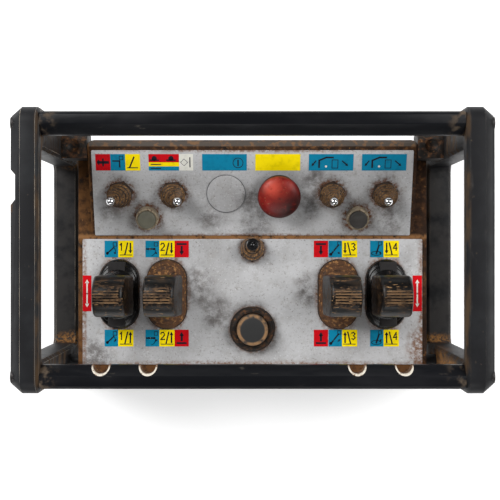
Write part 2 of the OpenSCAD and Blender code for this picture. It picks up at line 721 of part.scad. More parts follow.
module push_cap() difference() {
    translate([0, 0, -wall]) cylinder(d = button_d, h = button_high + wall);
    translate([0, 0, button_high + 18]) sphere(r = 18.4);
}
module start_button() color("#77756c") on_console(button_xs[0], button_v) push_cap();
module battery_button() color("#4c4a46") on_console(button_xs[1], button_v) push_cap();
module button_bezels() color("#b9b1a2") for (x = button_xs) on_console(x, button_v)
    difference() {
        union() {
            translate([0, 0, plate_t])
                cylinder(d1 = button_bezel_d + 1, d2 = button_bezel_d, h = button_bezel_h);
            translate([0, 0, -wall]) cylinder(d = button_bezel_d - 1.4, h = wall + plate_t);
        }
        translate([0, 0, -wall - 1]) cylinder(d = button_d + 2 * run_gap, h = 20);
    }
module button_switches() color("#2b2b2d") for (x = button_xs) on_console(x, button_v)
    translate([-8, -8, -wall - button_travel - 11]) difference() {
        cube([16, 16, button_travel + 11]);
        translate([8, 8, 10.5]) cylinder(d = button_d + 1, h = 10);
    }

// ---- proportional levers ----

module at_lever(i) translate([lever_xs[i], -lever_y, pivot_z]) children();
// Paddle outline in Y and Z, with a ribbed crest
module paddle_outline() {
    spring = paddle_high - arch_h;
    polygon(concat([[-paddle_d / 2, paddle_low], [paddle_d / 2, paddle_low]],
        [for (a = [0:7.5:180]) [paddle_d / 2 * cos(a), spring + arch_h * sin(a)]]));
}
module lever_paddle(i) color("#141312") at_lever(i) difference() {
    union() {
        along_x(paddle_w) paddle_outline();
        for (k = [0:crest_ribs - 1]) {
            y = (k - (crest_ribs - 1) / 2) * rib_pitch;
            z = paddle_high - arch_h + arch_h * sqrt(1 - pow(2 * y / paddle_d, 2));
            translate([0, y, z]) rod_x(-paddle_w / 2 + 1, paddle_w / 2 - 1, 2 * rib_r);
        }
    }
    translate([0, 0, paddle_low - 1]) cylinder(d = stem_d + 2 * run_gap, h = 19);
}
module lever_stem(i) color("#8c8f93") at_lever(i) difference() {
    union() {
        rod_x(-hub_w / 2, hub_w / 2, 2 * hub_r);
        cylinder(d = stem_d, h = paddle_low + 17);
    }
    rod_x(-hub_w, hub_w, axle_d + 2 * run_gap);
}
module lever_axles() color("#b8babd") for (i = [0:3]) at_lever(i)
    rod_x(-bracket[0] / 2, bracket[0] / 2, axle_d);
module lever_brackets() color("#303236") for (i = [0:3]) at_lever(i) difference() {
    translate([-bracket[0] / 2, -bracket[1] / 2, bracket_low - pivot_z])
        cube([bracket[0], bracket[1], cover_z - wall - bracket_low]);
    translate([-slot_w / 2, -bracket[1] / 2 - 1, bracket_low - pivot_z + 3])
        cube([slot_w, bracket[1] + 2, cover_z]);
    rod_x(-bracket[0], bracket[0], axle_d + 2 * run_gap);
}
module lever_springs() color("#9a9da1") for (i = [0:3], s = [-1, 1]) at_lever(i)
    translate([s > 0 ? hub_w / 2 + 0.2 : -slot_w / 2 + 0.2, 0, 0]) rotate([0, 90, 0])
        coil(axle_d / 2 + 1.2, 0.45, (slot_w - hub_w) / 2 - 0.4, 1.5, sides = 6, steps = 12);
module gaiter_rings() color("#151515") for (i = [0:3])
    translate([lever_xs[i], -lever_y, cover_z + plate_t]) linear_extrude(ring_h) difference() {
        obround(ring_size[0], ring_size[1]);
        obround(ring_size[0] - 8, ring_size[1] - 8);
    }
module gaiter(i) color("#3a2c20") translate([lever_xs[i], -lever_y, gaiter_low + 0.1])
    difference() {
        tier = (gaiter_top - gaiter_low - 0.1) / gaiter_tiers;
        for (k = [0:gaiter_tiers - 1]) translate([0, 0, k * tier]) linear_extrude(tier)
            obround(ring_size[0] - 2 - 3 * k, ring_size[1] - 2 - 9 * k);
        translate([0, 0, -1]) cylinder(d = stem_d + 2 * soft_gap, h = 40);
    }

// ---- inside the housing ----

module main_board() color("#1f6b3a") difference() {
    translate([-board[0] / 2, board_y - board[1] / 2, board_z]) cube(board);
    for (p = board_spots) translate([p[0], p[1], board_z - 1])
        cylinder(d = small_screw_d + 2 * hole_gap, h = 4);
}
module radio_module() color("#a9adb0") translate([-96, -68, board_z + board[2]])
    cube([56, 38, 8]);
module battery_pack() color("#2f4f8a")
    translate([-pack_x, bay_y0 + 1, floor_z + wall + 0.5])
        cube([2 * pack_x, bay_y1 - bay_y0 - 2, bay_top - floor_z - wall - 1]);
module battery_cover() color("#1b1c1e") difference() {
    translate([hole_gap - bay_x, bay_y0 + hole_gap, floor_z])
        cube([2 * (bay_x - hole_gap), bay_y1 - bay_y0 - 2 * hole_gap, wall]);
    for (p = bay_spots) translate([p[0], p[1], floor_z - 1]) {
        cylinder(d = small_screw_d + 2 * hole_gap, h = wall + 2);
        cylinder(d = small_head_d + 2 * hole_gap, h = small_head_h + 1);
    }
}
module small_screws() color("#6a6c70") {
    for (p = board_spots) translate([p[0], p[1], board_z + board[2]])
        screw(small_screw_d, small_screw_len - 0.5, small_head_d, small_head_h);
    for (p = bay_spots) translate([p[0], p[1], floor_z + small_head_h]) mirror([0, 0, 1])
        screw(small_screw_d, small_screw_len - 0.5, small_head_d, small_head_h);
}

end_frame_left();
end_frame_right();
back_rail();
front_rail();
rail_screws();
strap_bushes();
frame_bolts();
rubber_buffers();
rear_lugs();
lower_housing();
housing_gasket();
top_cover();
cover_screws();
lever_plate();
switch_plate();
blanking_disc();
toggle_bodies();
boot_nuts();
toggle_lever(0);  // toggle_lever_1
toggle_lever(1);  // toggle_lever_2
toggle_lever(2);  // toggle_lever_3
toggle_lever(3);  // toggle_lever_4
toggle_boots();
stop_collar();
stop_plunger();
stop_head();
stop_spring();
stop_contacts();
enable_bezel();
enable_cap();
enable_spring();
enable_switch();
centre_switch();
centre_lever();
centre_boot();
start_button();
battery_button();
button_bezels();
button_switches();
lever_paddle(0);  // lever_1
lever_paddle(1);  // lever_2
lever_paddle(2);  // lever_3
lever_paddle(3);  // lever_4
lever_stem(0);  // lever_stem_1
lever_stem(1);  // lever_stem_2
lever_stem(2);  // lever_stem_3
lever_stem(3);  // lever_stem_4
lever_axles();
lever_brackets();
lever_springs();
gaiter_rings();
gaiter(0);  // gaiter_1
gaiter(1);  // gaiter_2
gaiter(2);  // gaiter_3
gaiter(3);  // gaiter_4
main_board();
radio_module();
battery_pack();
battery_cover();
small_screws();
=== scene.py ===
"""Looks of a belt-worn radio control station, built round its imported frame."""

import json
import math

import bmesh
import bpy
from mathutils import Matrix, Vector


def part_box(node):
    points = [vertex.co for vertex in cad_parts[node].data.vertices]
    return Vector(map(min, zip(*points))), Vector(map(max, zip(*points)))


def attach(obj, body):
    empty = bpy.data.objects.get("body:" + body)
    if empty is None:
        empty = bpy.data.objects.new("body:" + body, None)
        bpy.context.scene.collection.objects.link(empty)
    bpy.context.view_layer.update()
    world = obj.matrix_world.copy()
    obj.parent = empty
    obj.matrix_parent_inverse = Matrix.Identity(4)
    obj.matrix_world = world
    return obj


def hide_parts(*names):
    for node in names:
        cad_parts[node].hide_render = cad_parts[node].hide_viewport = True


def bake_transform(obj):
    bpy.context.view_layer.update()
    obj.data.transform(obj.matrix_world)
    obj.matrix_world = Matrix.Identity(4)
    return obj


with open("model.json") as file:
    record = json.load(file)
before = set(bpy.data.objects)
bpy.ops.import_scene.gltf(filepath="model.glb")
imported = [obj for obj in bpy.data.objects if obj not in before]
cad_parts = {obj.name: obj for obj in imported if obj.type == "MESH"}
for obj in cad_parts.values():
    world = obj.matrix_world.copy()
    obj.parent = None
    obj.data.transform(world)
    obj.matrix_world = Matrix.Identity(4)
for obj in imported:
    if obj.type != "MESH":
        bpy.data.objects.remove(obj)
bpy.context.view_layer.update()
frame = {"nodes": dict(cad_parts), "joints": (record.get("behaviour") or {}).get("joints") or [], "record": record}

MM = 0.001
nodes = frame["nodes"]
joints = {joint["name"]: joint for joint in frame["joints"]}
body_of_node = {
    node: body for body, members in frame["record"]["behaviour"]["bodies"].items() for node in members
}
slot_of_node = {part["node"]: part["material_slot"] for part in frame["record"]["subparts"]}

# ---- places taken from the frame, in millimetres ----

plate_low, plate_high = (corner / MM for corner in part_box("lever_plate"))
PLATE_T = plate_high.z - plate_low.z
COVER_Z = plate_low.z
FACE_Z = plate_high.z
FOLD_Y = plate_high.y + 1.45
console_normal = -Vector(joints["stop_push"]["axis"])
TILT = math.atan2(-console_normal.y, console_normal.z)
PLATE_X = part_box("switch_plate")[1].x / MM
FRONT_Y, BACK_Y = (corner.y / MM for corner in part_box("top_cover"))
FRAME_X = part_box("end_frame_right")[1].x / MM
BAR_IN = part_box("end_frame_right")[0].x / MM
FRAME_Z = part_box("end_frame_right")[1].z / MM
TOGGLES = [joints[f"toggle_{i}_throw"] for i in (1, 2, 3, 4)]
TOGGLE_X = [joint["pos_m"][0] / MM for joint in TOGGLES]
PITCH = TOGGLE_X[1] - TOGGLE_X[0]
DEVICE_V = (TOGGLES[0]["pos_m"][1] / MM + 2 * math.sin(TILT) - FOLD_Y) / math.cos(TILT)
BUTTON_V = DEVICE_V - 18
STOP_X = PITCH / 2
LABEL_V = 56.75
TOGGLE_REST = [-12, 12, 0, 0]
PIVOT_W = 2.0
LEVERS = [joints[f"lever_{i}_rock"] for i in (1, 2, 3, 4)]
LEVER_X = [joint["pos_m"][0] / MM for joint in LEVERS]
LEVER_Y = LEVERS[0]["pos_m"][1] / MM
RING_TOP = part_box("gaiter_rings")[1].z / MM
ENABLE = (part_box("enable_cap")[0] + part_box("enable_cap")[1]) / 2 / MM
CENTRE_Y = joints["centre_throw"]["pos_m"][1] / MM
CENTRE_LEAN = 12
DRAFT = 4
RIB_PITCH = 2
RIB_LEN = 18
RIB_R = 0.5
CARD_T = 0.15
INK_T = 0.04


def on_console(x, v, w=0.0):
    """Place on the tilted console: across, up the slope from its fold, and out of it."""
    return (Matrix.Translation(Vector((0, FOLD_Y, COVER_Z)) * MM) @ Matrix.Rotation(TILT, 4, "X")
            @ Matrix.Translation(Vector((x, v, w)) * MM))


def on_level(x, y, z=0.0):
    """Place over the level plate, z above the cover's level face."""
    return Matrix.Translation(Vector((x, y, COVER_Z + z)) * MM)


def srgb(red, green, blue):
    """Colour given as it looks on a screen, 0 to 255, in the linear form that shaders use."""
    return tuple(
        (c / 255 / 12.92) if c <= 10 else ((c / 255 + 0.055) / 1.055) ** 2.4 for c in (red, green, blue)
    )


# ---- finishes ----

DUST = srgb(150, 108, 66)
DARK_DUST = srgb(86, 58, 38)

# Each place below is a middle, the reach of its core, the reach of its edge and a stretch
FOOT_DUST = [((-140, -70, 21), 2, 9, (0.4, 1, 1)), ((142, -70, 21), 1, 7, (0.3, 1, 1)),
             ((-140, 70, 21), 1, 9, (0.5, 1, 1)), ((-FRAME_X, 30, FRAME_Z - 12), 3, 9, (1, 0.6, 1)),
             ((BAR_IN, -84, 70), 6, 17, (1, 1, 0.35)), ((BAR_IN, -84, 118), 4, 12, (1, 1, 0.35))]
# Painted shadows on the level plate: soft dark patches beside the levers, in the middle towards the front, round
# the centre lever and in the front left corner.
LEVEL_PAINTED_SHADOWS = [((-41, -27, FACE_Z), 5, 16, (1, 0.7, 1)), ((-27, -46, FACE_Z), 5, 15, (1, 0.8, 1)),
                 ((41, -30, FACE_Z), 3, 15, (1, 0.7, 1)), ((-116, -80, FACE_Z), 3, 17, (1, 1, 1)),
                 ((0, -58, FACE_Z), 17, 23, (1, 1, 1)), ((-122, -84, FACE_Z), 8, 30, (1, 1, 1)),
                 ((0, CENTRE_Y, FACE_Z), 8, 13, (1, 1, 1))]
LEVEL_DUST = [((x, LEVER_Y, FACE_Z), 17, 21, (1.12, 0.62, 1)) for x in LEVER_X] \
    + [((0, ENABLE.y, FACE_Z), 16, 19, (1, 1, 1)), ((0, CENTRE_Y, FACE_Z), 8, 12, (1, 1, 1)),
       ((0, plate_low.y, FACE_Z), 0.8, 4, (0.02, 1, 1)), ((123, -74, FACE_Z), 4, 13, (1, 0.5, 1)),
       ((-124, -40, FACE_Z), 0.5, 3, (1, 0.03, 1)), ((124.6, -40, FACE_Z), 0.5, 4, (1, 0.03, 1))]
# Painted shadows on the console: soft dark patches near its devices and towards its sides.
CONSOLE_PAINTED_SHADOWS = [
    (tuple(on_console(x, v, 1).translation / MM), core, reach, (1, 1, 1))
    for x, v, core, reach in ((42, 28, 4, 19), (44, 46, 3, 13), (0, 30, 2, 17), (3, 12, 3, 20),
                              (100, 14, 3, 22), (-104, 22, 2, 16), (-30, 15, 2, 16))]
CONSOLE_DUST = [(tuple(on_console(0, v, 1).translation / MM), 0.8, 3, (0.02, 1, 1)) for v in (1, 66)]


class Finish:
    """A procedural material that reads object coordinates and is built up coat by coat."""

    def __init__(self, name, colour, rough=0.5, metal=0.0, shine=0.5):
        self.material = bpy.data.materials.new(name)
        self.material.use_nodes = True
        self.tree = self.material.node_tree
        self.shader = self.tree.nodes["Principled BSDF"]
        self.shader.inputs["Metallic"].default_value = metal
        self.shader.inputs["Specular IOR Level"].default_value = shine
        self.place = self.node("TexCoord").outputs["Object"]
        self.set("Base Color", (*colour, 1))
        self.set("Roughness", rough)

    def node(self, kind, **settings):
        """New shader node with its settings."""
        made = self.tree.nodes.new("ShaderNode" + kind)
        for name, value in settings.items():
            setattr(made, name, value)
        return made

    def set(self, socket, value):
        """Sets a shader socket to a number, a colour or another node's output."""
        if isinstance(value, bpy.types.NodeSocket):
            self.tree.links.new(value, self.shader.inputs[socket])
        else:
            self.shader.inputs[socket].default_value = value

    def feed(self, value, target):
        """Gives any socket a number or another node's output."""
        if isinstance(value, bpy.types.NodeSocket):
            self.tree.links.new(value, target)
        else:
            target.default_value = value

    def math(self, operation, a, b=0.0, clamp=False):
        """One sum on two masks or numbers."""
        made = self.node("Math", operation=operation, use_clamp=clamp)
        self.feed(a, made.inputs[0])
        self.feed(b, made.inputs[1])
        return made.outputs[0]

    def stretched(self, scale):
        """Object coordinates, scaled along each axis."""
        made = self.node("Mapping")
        self.tree.links.new(self.place, made.inputs["Vector"])
        made.inputs["Scale"].default_value = scale
        return made.outputs[0]

    def noise(self, size, detail=4.0, stretch=None, rough=0.55):
        """Soft noise whose blotches are about this many millimetres across."""
        made = self.node("TexNoise")
        source = self.stretched(stretch) if stretch else self.place
        self.tree.links.new(source, made.inputs["Vector"])
        made.inputs["Scale"].default_value = 1 / (size * MM)
        made.inputs["Detail"].default_value = detail
        made.inputs["Roughness"].default_value = rough
        return made.outputs["Fac"]

    def specks(self, size, low=0.0, high=0.3):
        """Round specks about this many millimetres apart: 1 at a speck's middle."""
        made = self.node("TexVoronoi")
        self.tree.links.new(self.place, made.inputs["Vector"])
        made.inputs["Scale"].default_value = 1 / (size * MM)
        return self.ramp(made.outputs["Distance"], high, low)

    def ramp(self, value, low, high):
        """Rises from 0 to 1 as the value goes from low to high, which may be the smaller."""
        made = self.node("MapRange", interpolation_type="SMOOTHSTEP")
        self.feed(value, made.inputs["Value"])
        made.inputs["From Min"].default_value = low
        made.inputs["From Max"].default_value = high
        return made.outputs["Result"]

    def axis(self, index, absolute=False):
        """One object coordinate in millimetres."""
        made = self.node("SeparateXYZ")
        self.tree.links.new(self.place, made.inputs[0])
        value = self.math("MULTIPLY", made.outputs[index], 1 / MM)
        return self.math("ABSOLUTE", value) if absolute else value

    def facing(self, index, low, high):
        """Rises as a face turns to look along an axis."""
        made = self.node("SeparateXYZ")
        self.tree.links.new(self.node("NewGeometry").outputs["Normal"], made.inputs[0])
        return self.ramp(made.outputs[index], low, high)

    def near(self, spots, core, reach, shape=(1, 1, 1)):
        """1 within core of any spot, falling to 0 at reach, all in millimetres."""
        total = None
        source = self.stretched(shape) if shape != (1, 1, 1) else self.place
        for spot in spots:
            made = self.node("VectorMath", operation="DISTANCE")
            self.tree.links.new(source, made.inputs[0])
            made.inputs[1].default_value = [c * MM * s for c, s in zip(spot, shape)]
            one = self.ramp(made.outputs["Value"], reach * MM, core * MM)
            total = one if total is None else self.math("MAXIMUM", total, one)
        return total

    def mix(self, mask, a, b):
        """Colour a where the mask is 0, colour b where it is 1."""
        made = self.node("Mix", data_type="RGBA")
        self.feed(mask, made.inputs["Factor"])
        self.feed(a if isinstance(a, bpy.types.NodeSocket) else (*a[:3], 1), made.inputs["A"])
        self.feed(b if isinstance(b, bpy.types.NodeSocket) else (*b[:3], 1), made.inputs["B"])
        return made.outputs["Result"]

    def current(self, socket):
        """What a shader socket holds now: a node's output or a plain value."""
        target = self.shader.inputs[socket]
        if target.is_linked:
            return target.links[0].from_socket
        value = target.default_value
        return tuple(value) if socket == "Base Color" else value

    def coat(self, mask, colour, rough=None):
        """Lays a colour, and a roughness with it, over what is there, as far as the mask says."""
        self.set("Base Color", self.mix(mask, self.current("Base Color"), colour))
        if rough is not None:
            made = self.node("Mix", data_type="FLOAT")
            self.feed(mask, made.inputs["Factor"])
            self.feed(self.current("Roughness"), made.inputs["A"])
            made.inputs["B"].default_value = rough
            self.set("Roughness", made.outputs["Result"])
        return self

    def bump(self, height, depth, strength=1.0):
        """Raises the surface by up to depth millimetres where the height is 1."""
        made = self.node("Bump")
        made.inputs["Distance"].default_value = depth * MM
        made.inputs["Strength"].default_value = strength
        self.feed(height, made.inputs["Height"])
        if self.shader.inputs["Normal"].is_linked:
            self.tree.links.new(self.shader.inputs["Normal"].links[0].from_socket,
                                made.inputs["Normal"])
        self.set("Normal", made.outputs["Normal"])
        return self


def frame_coat():
    """Black coated bar with a fine grain, grey rub marks and dust low down."""
    f = Finish("frame_coat", srgb(27, 27, 29), rough=0.5, shine=0.14)
    f.coat(f.ramp(f.noise(26, 4), 0.42, 0.75), srgb(37, 38, 40), 0.42)
    f.coat(f.ramp(f.noise(6, 6, (1, 0.3, 1)), 0.62, 0.76), srgb(52, 50, 49), 0.6)
    f.coat(f.ramp(f.noise(3, 6), 0.68, 0.76), srgb(78, 68, 58), 0.7)
    inner = f.ramp(f.axis(0, absolute=True), BAR_IN + 3.5, BAR_IN + 1)
    rub = f.ramp(f.noise(7, 6, (1, 0.3, 1)), 0.42, 0.64)
    f.coat(f.math("MULTIPLY", inner, rub), srgb(72, 56, 40), 0.75)
    low = f.ramp(f.axis(2), 30, 12)
    f.coat(f.math("MULTIPLY", low, f.ramp(f.noise(14, 5), 0.3, 0.6)), srgb(70, 67, 65), 0.75)
    for spot, core, reach, shape in FOOT_DUST:
        heap = f.near([spot], core, reach, shape)
        crumbs = f.ramp(f.noise(2.2, 7, rough=0.7), 0.4, 0.58)
        f.coat(f.math("MULTIPLY", heap, crumbs), srgb(150, 106, 60), 0.95)
    return f.bump(f.noise(0.9, 3), 0.05).bump(f.noise(12, 3), 0.1)


def frame_edge():
    """Edge of a bar: the black coat is worn through to pale metal in places."""
    f = Finish("frame_edge", srgb(122, 119, 114), rough=0.42, shine=0.4)
    f.coat(f.ramp(f.noise(12, 7, (1, 0.3, 0.3), 0.7), 0.48, 0.58), srgb(190, 178, 160), 0.5)
    f.coat(f.ramp(f.noise(9, 6, (1, 0.4, 0.4)), 0.58, 0.64), srgb(50, 50, 51), 0.5)
    f.coat(f.ramp(f.noise(6, 4), 0.58, 0.7), srgb(124, 92, 58), 0.8)
    return f


def rail_tape():
    """Rail wrapped in black film: slightly wavy, with a soft gloss."""
    f = Finish("rail_tape", srgb(17, 18, 21), rough=0.3, shine=0.1)
    f.coat(f.ramp(f.noise(30, 4, (0.3, 1, 1)), 0.45, 0.7), srgb(27, 27, 30), 0.45)
    f.coat(f.ramp(f.noise(7, 6, (0.4, 1, 1)), 0.66, 0.74), srgb(64, 60, 55), 0.65)
    ends = f.ramp(f.axis(0, absolute=True), BAR_IN - 14, BAR_IN - 3)
    f.coat(f.math("MULTIPLY", ends, f.ramp(f.noise(6, 6), 0.45, 0.65)), srgb(86, 74, 62), 0.7)
    return f.bump(f.noise(15, 2, (0.45, 1, 1)), 0.7).bump(f.noise(1.2, 3), 0.04)


def housing_black():
    """Moulded black plastic, brown with dust on the ledges and in the corners, with a strip of painted light,
    paler grey, along its back edge.
    """
    f = Finish("housing_black", srgb(20, 18, 17), rough=0.6, shine=0.15)
    up = f.facing(2, 0.35, 0.8)
    f.coat(f.math("MULTIPLY", up, f.ramp(f.noise(15, 6), 0.3, 0.62)), srgb(66, 44, 28), 0.9)
    f.coat(f.math("MULTIPLY", up, f.ramp(f.noise(4, 6), 0.5, 0.68)), srgb(104, 70, 42), 0.95)
    f.coat(f.math("MULTIPLY", up, f.ramp(f.noise(1.6, 5), 0.62, 0.75)), DUST, 0.95)
    # Painted light: the up-facing strip along the back edge is painted paler grey, as if it caught the light;
    # brown dust is laid over it.
    back = f.math("MULTIPLY", up, f.ramp(f.axis(1), BACK_Y - 5.4, BACK_Y - 4.2))
    f.coat(back, srgb(80, 73, 67), 0.8)
    f.coat(f.math("MULTIPLY", back, f.ramp(f.noise(5, 6), 0.5, 0.62)), srgb(116, 88, 64), 0.9)
    left = f.math("MULTIPLY", up, f.ramp(f.axis(0), -PLATE_X - 1, -PLATE_X - 2.5))
    f.coat(f.math("MULTIPLY", left, f.ramp(f.noise(6, 6), 0.3, 0.62)), srgb(104, 70, 40), 0.9)
    right = f.math("MULTIPLY", up, f.ramp(f.axis(0), PLATE_X + 0.5, PLATE_X + 2))
    f.coat(f.math("MULTIPLY", right, f.ramp(f.noise(5, 6), 0.35, 0.6)), srgb(42, 27, 18), 0.8)
    fold = f.near([(0, FOLD_Y, COVER_Z)], 1.6, 4, (0.02, 1, 1))
    f.coat(f.math("MULTIPLY", fold, f.ramp(f.noise(3, 6), 0.3, 0.5)), srgb(146, 104, 66), 0.95)
    ledge = f.math("MULTIPLY", up, f.ramp(f.axis(1), FRONT_Y + 10, FRONT_Y + 7))
    f.coat(f.math("MULTIPLY", ledge, f.ramp(f.noise(3, 6), 0.3, 0.55)), srgb(92, 60, 34), 0.95)
    return f.bump(f.noise(0.8, 3), 0.08).bump(f.noise(2.5, 4), 0.12)


def panel_spots():
    """Middles of the devices on the console, where dust gathers."""
    console = [(x, DEVICE_V) for x in TOGGLE_X]
    console += [(-2 * PITCH, BUTTON_V), (2 * PITCH, BUTTON_V)]
    return [tuple(on_console(x, v, 1).translation / MM) for x, v in console]


def panel_grey(name, spots, painted_shadows, dust):
    """Grey front plate: soft painted shadows, fine specks, brown dust in its corners."""
    f = Finish(name, srgb(186, 186, 187), rough=0.5, shine=0.4)
    f.coat(f.ramp(f.noise(40, 4), 0.4, 0.7), srgb(162, 161, 161), 0.5)
    f.coat(f.ramp(f.noise(7, 8, rough=0.75), 0.5, 0.72), srgb(160, 157, 154))
    f.coat(f.ramp(f.noise(1.3, 4, rough=0.7), 0.56, 0.7), srgb(200, 200, 201))
    f.coat(f.ramp(f.noise(1.6, 5, rough=0.75), 0.55, 0.68), srgb(134, 130, 127))
    grime = f.noise(3.2, 8, rough=0.78)
    cloud = f.noise(10, 8, rough=0.76)
    # Painted shadows: soft dark grey patches where nearby parts shade the plate.
    for spot, core, reach, shape in painted_shadows:
        mask = f.near([spot], core, reach, shape)
        f.coat(f.math("MULTIPLY", mask, f.ramp(cloud, 0.34, 0.66)), srgb(98, 94, 92), 0.6)
    if spots:
        halo = f.near(spots, 9, 17)
        f.coat(f.math("MULTIPLY", halo, f.ramp(grime, 0.36, 0.7)), srgb(104, 86, 74), 0.8)
        halo = f.near(spots, 9, 12.5)
        f.coat(f.math("MULTIPLY", halo, f.ramp(grime, 0.42, 0.58)), srgb(118, 74, 44), 0.9)
    for spot, core, reach, shape in dust:
        mask = f.near([spot], core, reach, shape)
        f.coat(f.math("MULTIPLY", mask, f.ramp(grime, 0.36, 0.62)), srgb(118, 84, 62), 0.9)
    f.coat(f.specks(8, 0.015, 0.05), srgb(86, 66, 54), 0.8)
    f.coat(f.specks(5, 0.03, 0.07), srgb(120, 104, 92), 0.8)
    return f.bump(f.noise(0.7, 2), 0.02)


def rubber(name, tone, gloss, dust=0.0, dust_size=5, shine=0.2):
    """Black rubber or soft plastic, with brown dust where it looks up."""
    f = Finish(name, tone, rough=gloss, shine=shine)
    f.coat(f.ramp(f.noise(6, 5), 0.5, 0.75), tuple(c * 1.9 + 0.006 for c in tone), gloss + 0.12)
    if dust:
        up = f.facing(2, -0.1, 0.75)
        patch = f.ramp(f.noise(dust_size, 6, rough=0.65), 0.7 - 0.4 * dust, 0.86 - 0.36 * dust)
        f.coat(f.math("MULTIPLY", up, patch), DARK_DUST, 0.8)
        fine = f.ramp(f.noise(dust_size / 2, 6), 0.78 - 0.26 * dust, 0.9 - 0.24 * dust)
        f.coat(f.math("MULTIPLY", up, fine), DUST, 0.9)
    return f.bump(f.noise(0.7, 3), 0.06)


def plain(name, colour, rough, metal=0.0, shine=0.5):
    """Even finish with a fine grain and a slight change of tone."""
    f = Finish(name, colour, rough=rough, metal=metal, shine=shine)
    f.coat(f.ramp(f.noise(5, 4), 0.45, 0.75), tuple(c * 0.8 for c in colour), min(1, rough + 0.12))
    return f.bump(f.noise(0.9, 3), 0.03)


def stop_red():
    """Red mushroom head with a painted shadow on one side, a painted highlight on the other and painted shade on
    its steep sides.
    """
    f = Finish("stop_red", srgb(126, 16, 12), rough=0.36, shine=0.35)
    f.coat(f.ramp(f.noise(16, 5), 0.42, 0.66), srgb(164, 44, 30), 0.5)
    f.coat(f.ramp(f.noise(5, 6), 0.52, 0.7), srgb(96, 20, 14), 0.55)
    f.coat(f.ramp(f.noise(1.6, 4), 0.62, 0.72), srgb(150, 92, 68), 0.7)
    # Painted shadow: a dark patch on one side of the dome, standing in for shade.
    shade = on_console(STOP_X + 12, DEVICE_V - 10, 14).translation / MM
    stop_painted_shadow = f.math("MULTIPLY", f.near([shade], 6, 25), f.ramp(f.noise(7, 6, rough=0.65), 0.1, 0.5))
    f.coat(stop_painted_shadow, srgb(46, 10, 8), 0.4)
    # Painted highlight: a pale patch on the dome's other side, centred on the point called rubbed; it is not wear.
    rubbed = on_console(STOP_X - 6, DEVICE_V + 9, 16).translation / MM
    pale = f.math("MULTIPLY", f.near([rubbed], 1, 10), f.ramp(f.noise(5, 6), 0.2, 0.5))
    f.coat(pale, srgb(214, 84, 66), 0.4)
    # Painted shade: faces that turn away from above, the dome's steep sides, are darkened.
    down = f.facing(2, 0.75, 0.2)
    f.coat(f.math("MULTIPLY", down, 0.75), srgb(70, 14, 11), 0.6)
    return f.bump(f.noise(0.8, 3), 0.03)


def paddle_black():
    """Worn black paddle: brown in its rubbed grain, paler along the edges of its crest."""
    f = Finish("paddle_black", srgb(13, 12, 12), rough=0.34, shine=0.26)
    f.coat(f.ramp(f.noise(9, 6, (0.5, 1, 1)), 0.48, 0.66), srgb(40, 30, 21), 0.5)
    f.coat(f.ramp(f.noise(3.2, 7, (0.25, 1, 1), 0.7), 0.55, 0.64), srgb(86, 62, 40), 0.65)
    f.coat(f.ramp(f.noise(1.3, 5, (0.2, 1, 1)), 0.63, 0.7), srgb(168, 130, 88), 0.75)
    crest = f.math("MULTIPLY", f.facing(2, 0.8, 0.98), f.ramp(f.noise(2.4, 6), 0.5, 0.62))
    f.coat(crest, srgb(84, 62, 42), 0.7)
    return f.bump(f.noise(3.5, 4), 0.12).bump(f.noise(0.7, 3), 0.05)


def chipped_white():
    """Pale bush, stained brown and chipped away in patches."""
    f = Finish("pale_plastic", srgb(214, 206, 192), rough=0.6, shine=0.3)
    f.coat(f.ramp(f.noise(3, 7, rough=0.7), 0.54, 0.62), srgb(128, 98, 70), 0.8)
    f.coat(f.ramp(f.noise(2, 6, rough=0.7), 0.62, 0.66), srgb(44, 36, 30), 0.8)
    f.coat(f.ramp(f.axis(2), FRAME_Z - 6, FRAME_Z - 9), srgb(96, 68, 46), 0.8)
    return f.bump(f.noise(0.9, 3), 0.05)


def worn_rib():
    """Rib along a paddle's crest: rubbed to bronze, black where the wear has missed it."""
    f = Finish("rib_bronze", srgb(128, 98, 66), rough=0.45, shine=0.4)
    f.coat(f.ramp(f.noise(4, 6, (0.3, 1, 1), 0.7), 0.46, 0.56), srgb(62, 46, 32), 0.6)
    f.coat(f.ramp(f.noise(3, 6, (0.3, 1, 1), 0.7), 0.6, 0.68), srgb(190, 154, 108), 0.6)
    return f.bump(f.noise(0.7, 3), 0.03)


def boot_brown():
    """Dark rubber boot whose fold crests are golden with dust."""
    f = Finish("boot_rubber", srgb(24, 17, 12), rough=0.34, shine=0.45)
    f.coat(f.ramp(f.noise(3, 6), 0.45, 0.65), srgb(44, 30, 18), 0.5)
    crest = f.facing(2, 0.62, 0.95)
    f.coat(f.math("MULTIPLY", crest, f.ramp(f.noise(2.4, 6, rough=0.7), 0.34, 0.54)),
           srgb(108, 76, 43), 0.6)
    f.coat(f.math("MULTIPLY", crest, f.ramp(f.noise(1.2, 6), 0.56, 0.68)), srgb(170, 128, 78), 0.8)
    return f.bump(f.noise(0.7, 3), 0.06)


def enable_rubber():
    """Grey-black rubber cap with a ring of pale dust in its rim."""
    f = Finish("enable_rubber", srgb(42, 42, 42), rough=0.5, shine=0.3)
    middle = (0, ENABLE.y, ENABLE.z)
    rim = f.math("MULTIPLY", f.near([middle], 10.6, 12, (1, 1, 0.01)),
                 f.near([middle], 9.6, 8.4, (1, 1, 0.01)))
    f.coat(f.math("MULTIPLY", rim, f.ramp(f.noise(5, 5), 0.3, 0.6)), srgb(146, 112, 78), 0.85)
    f.coat(f.ramp(f.noise(4, 5), 0.6, 0.75), srgb(66, 60, 54), 0.7)
    return f.bump(f.noise(0.7, 3), 0.05)


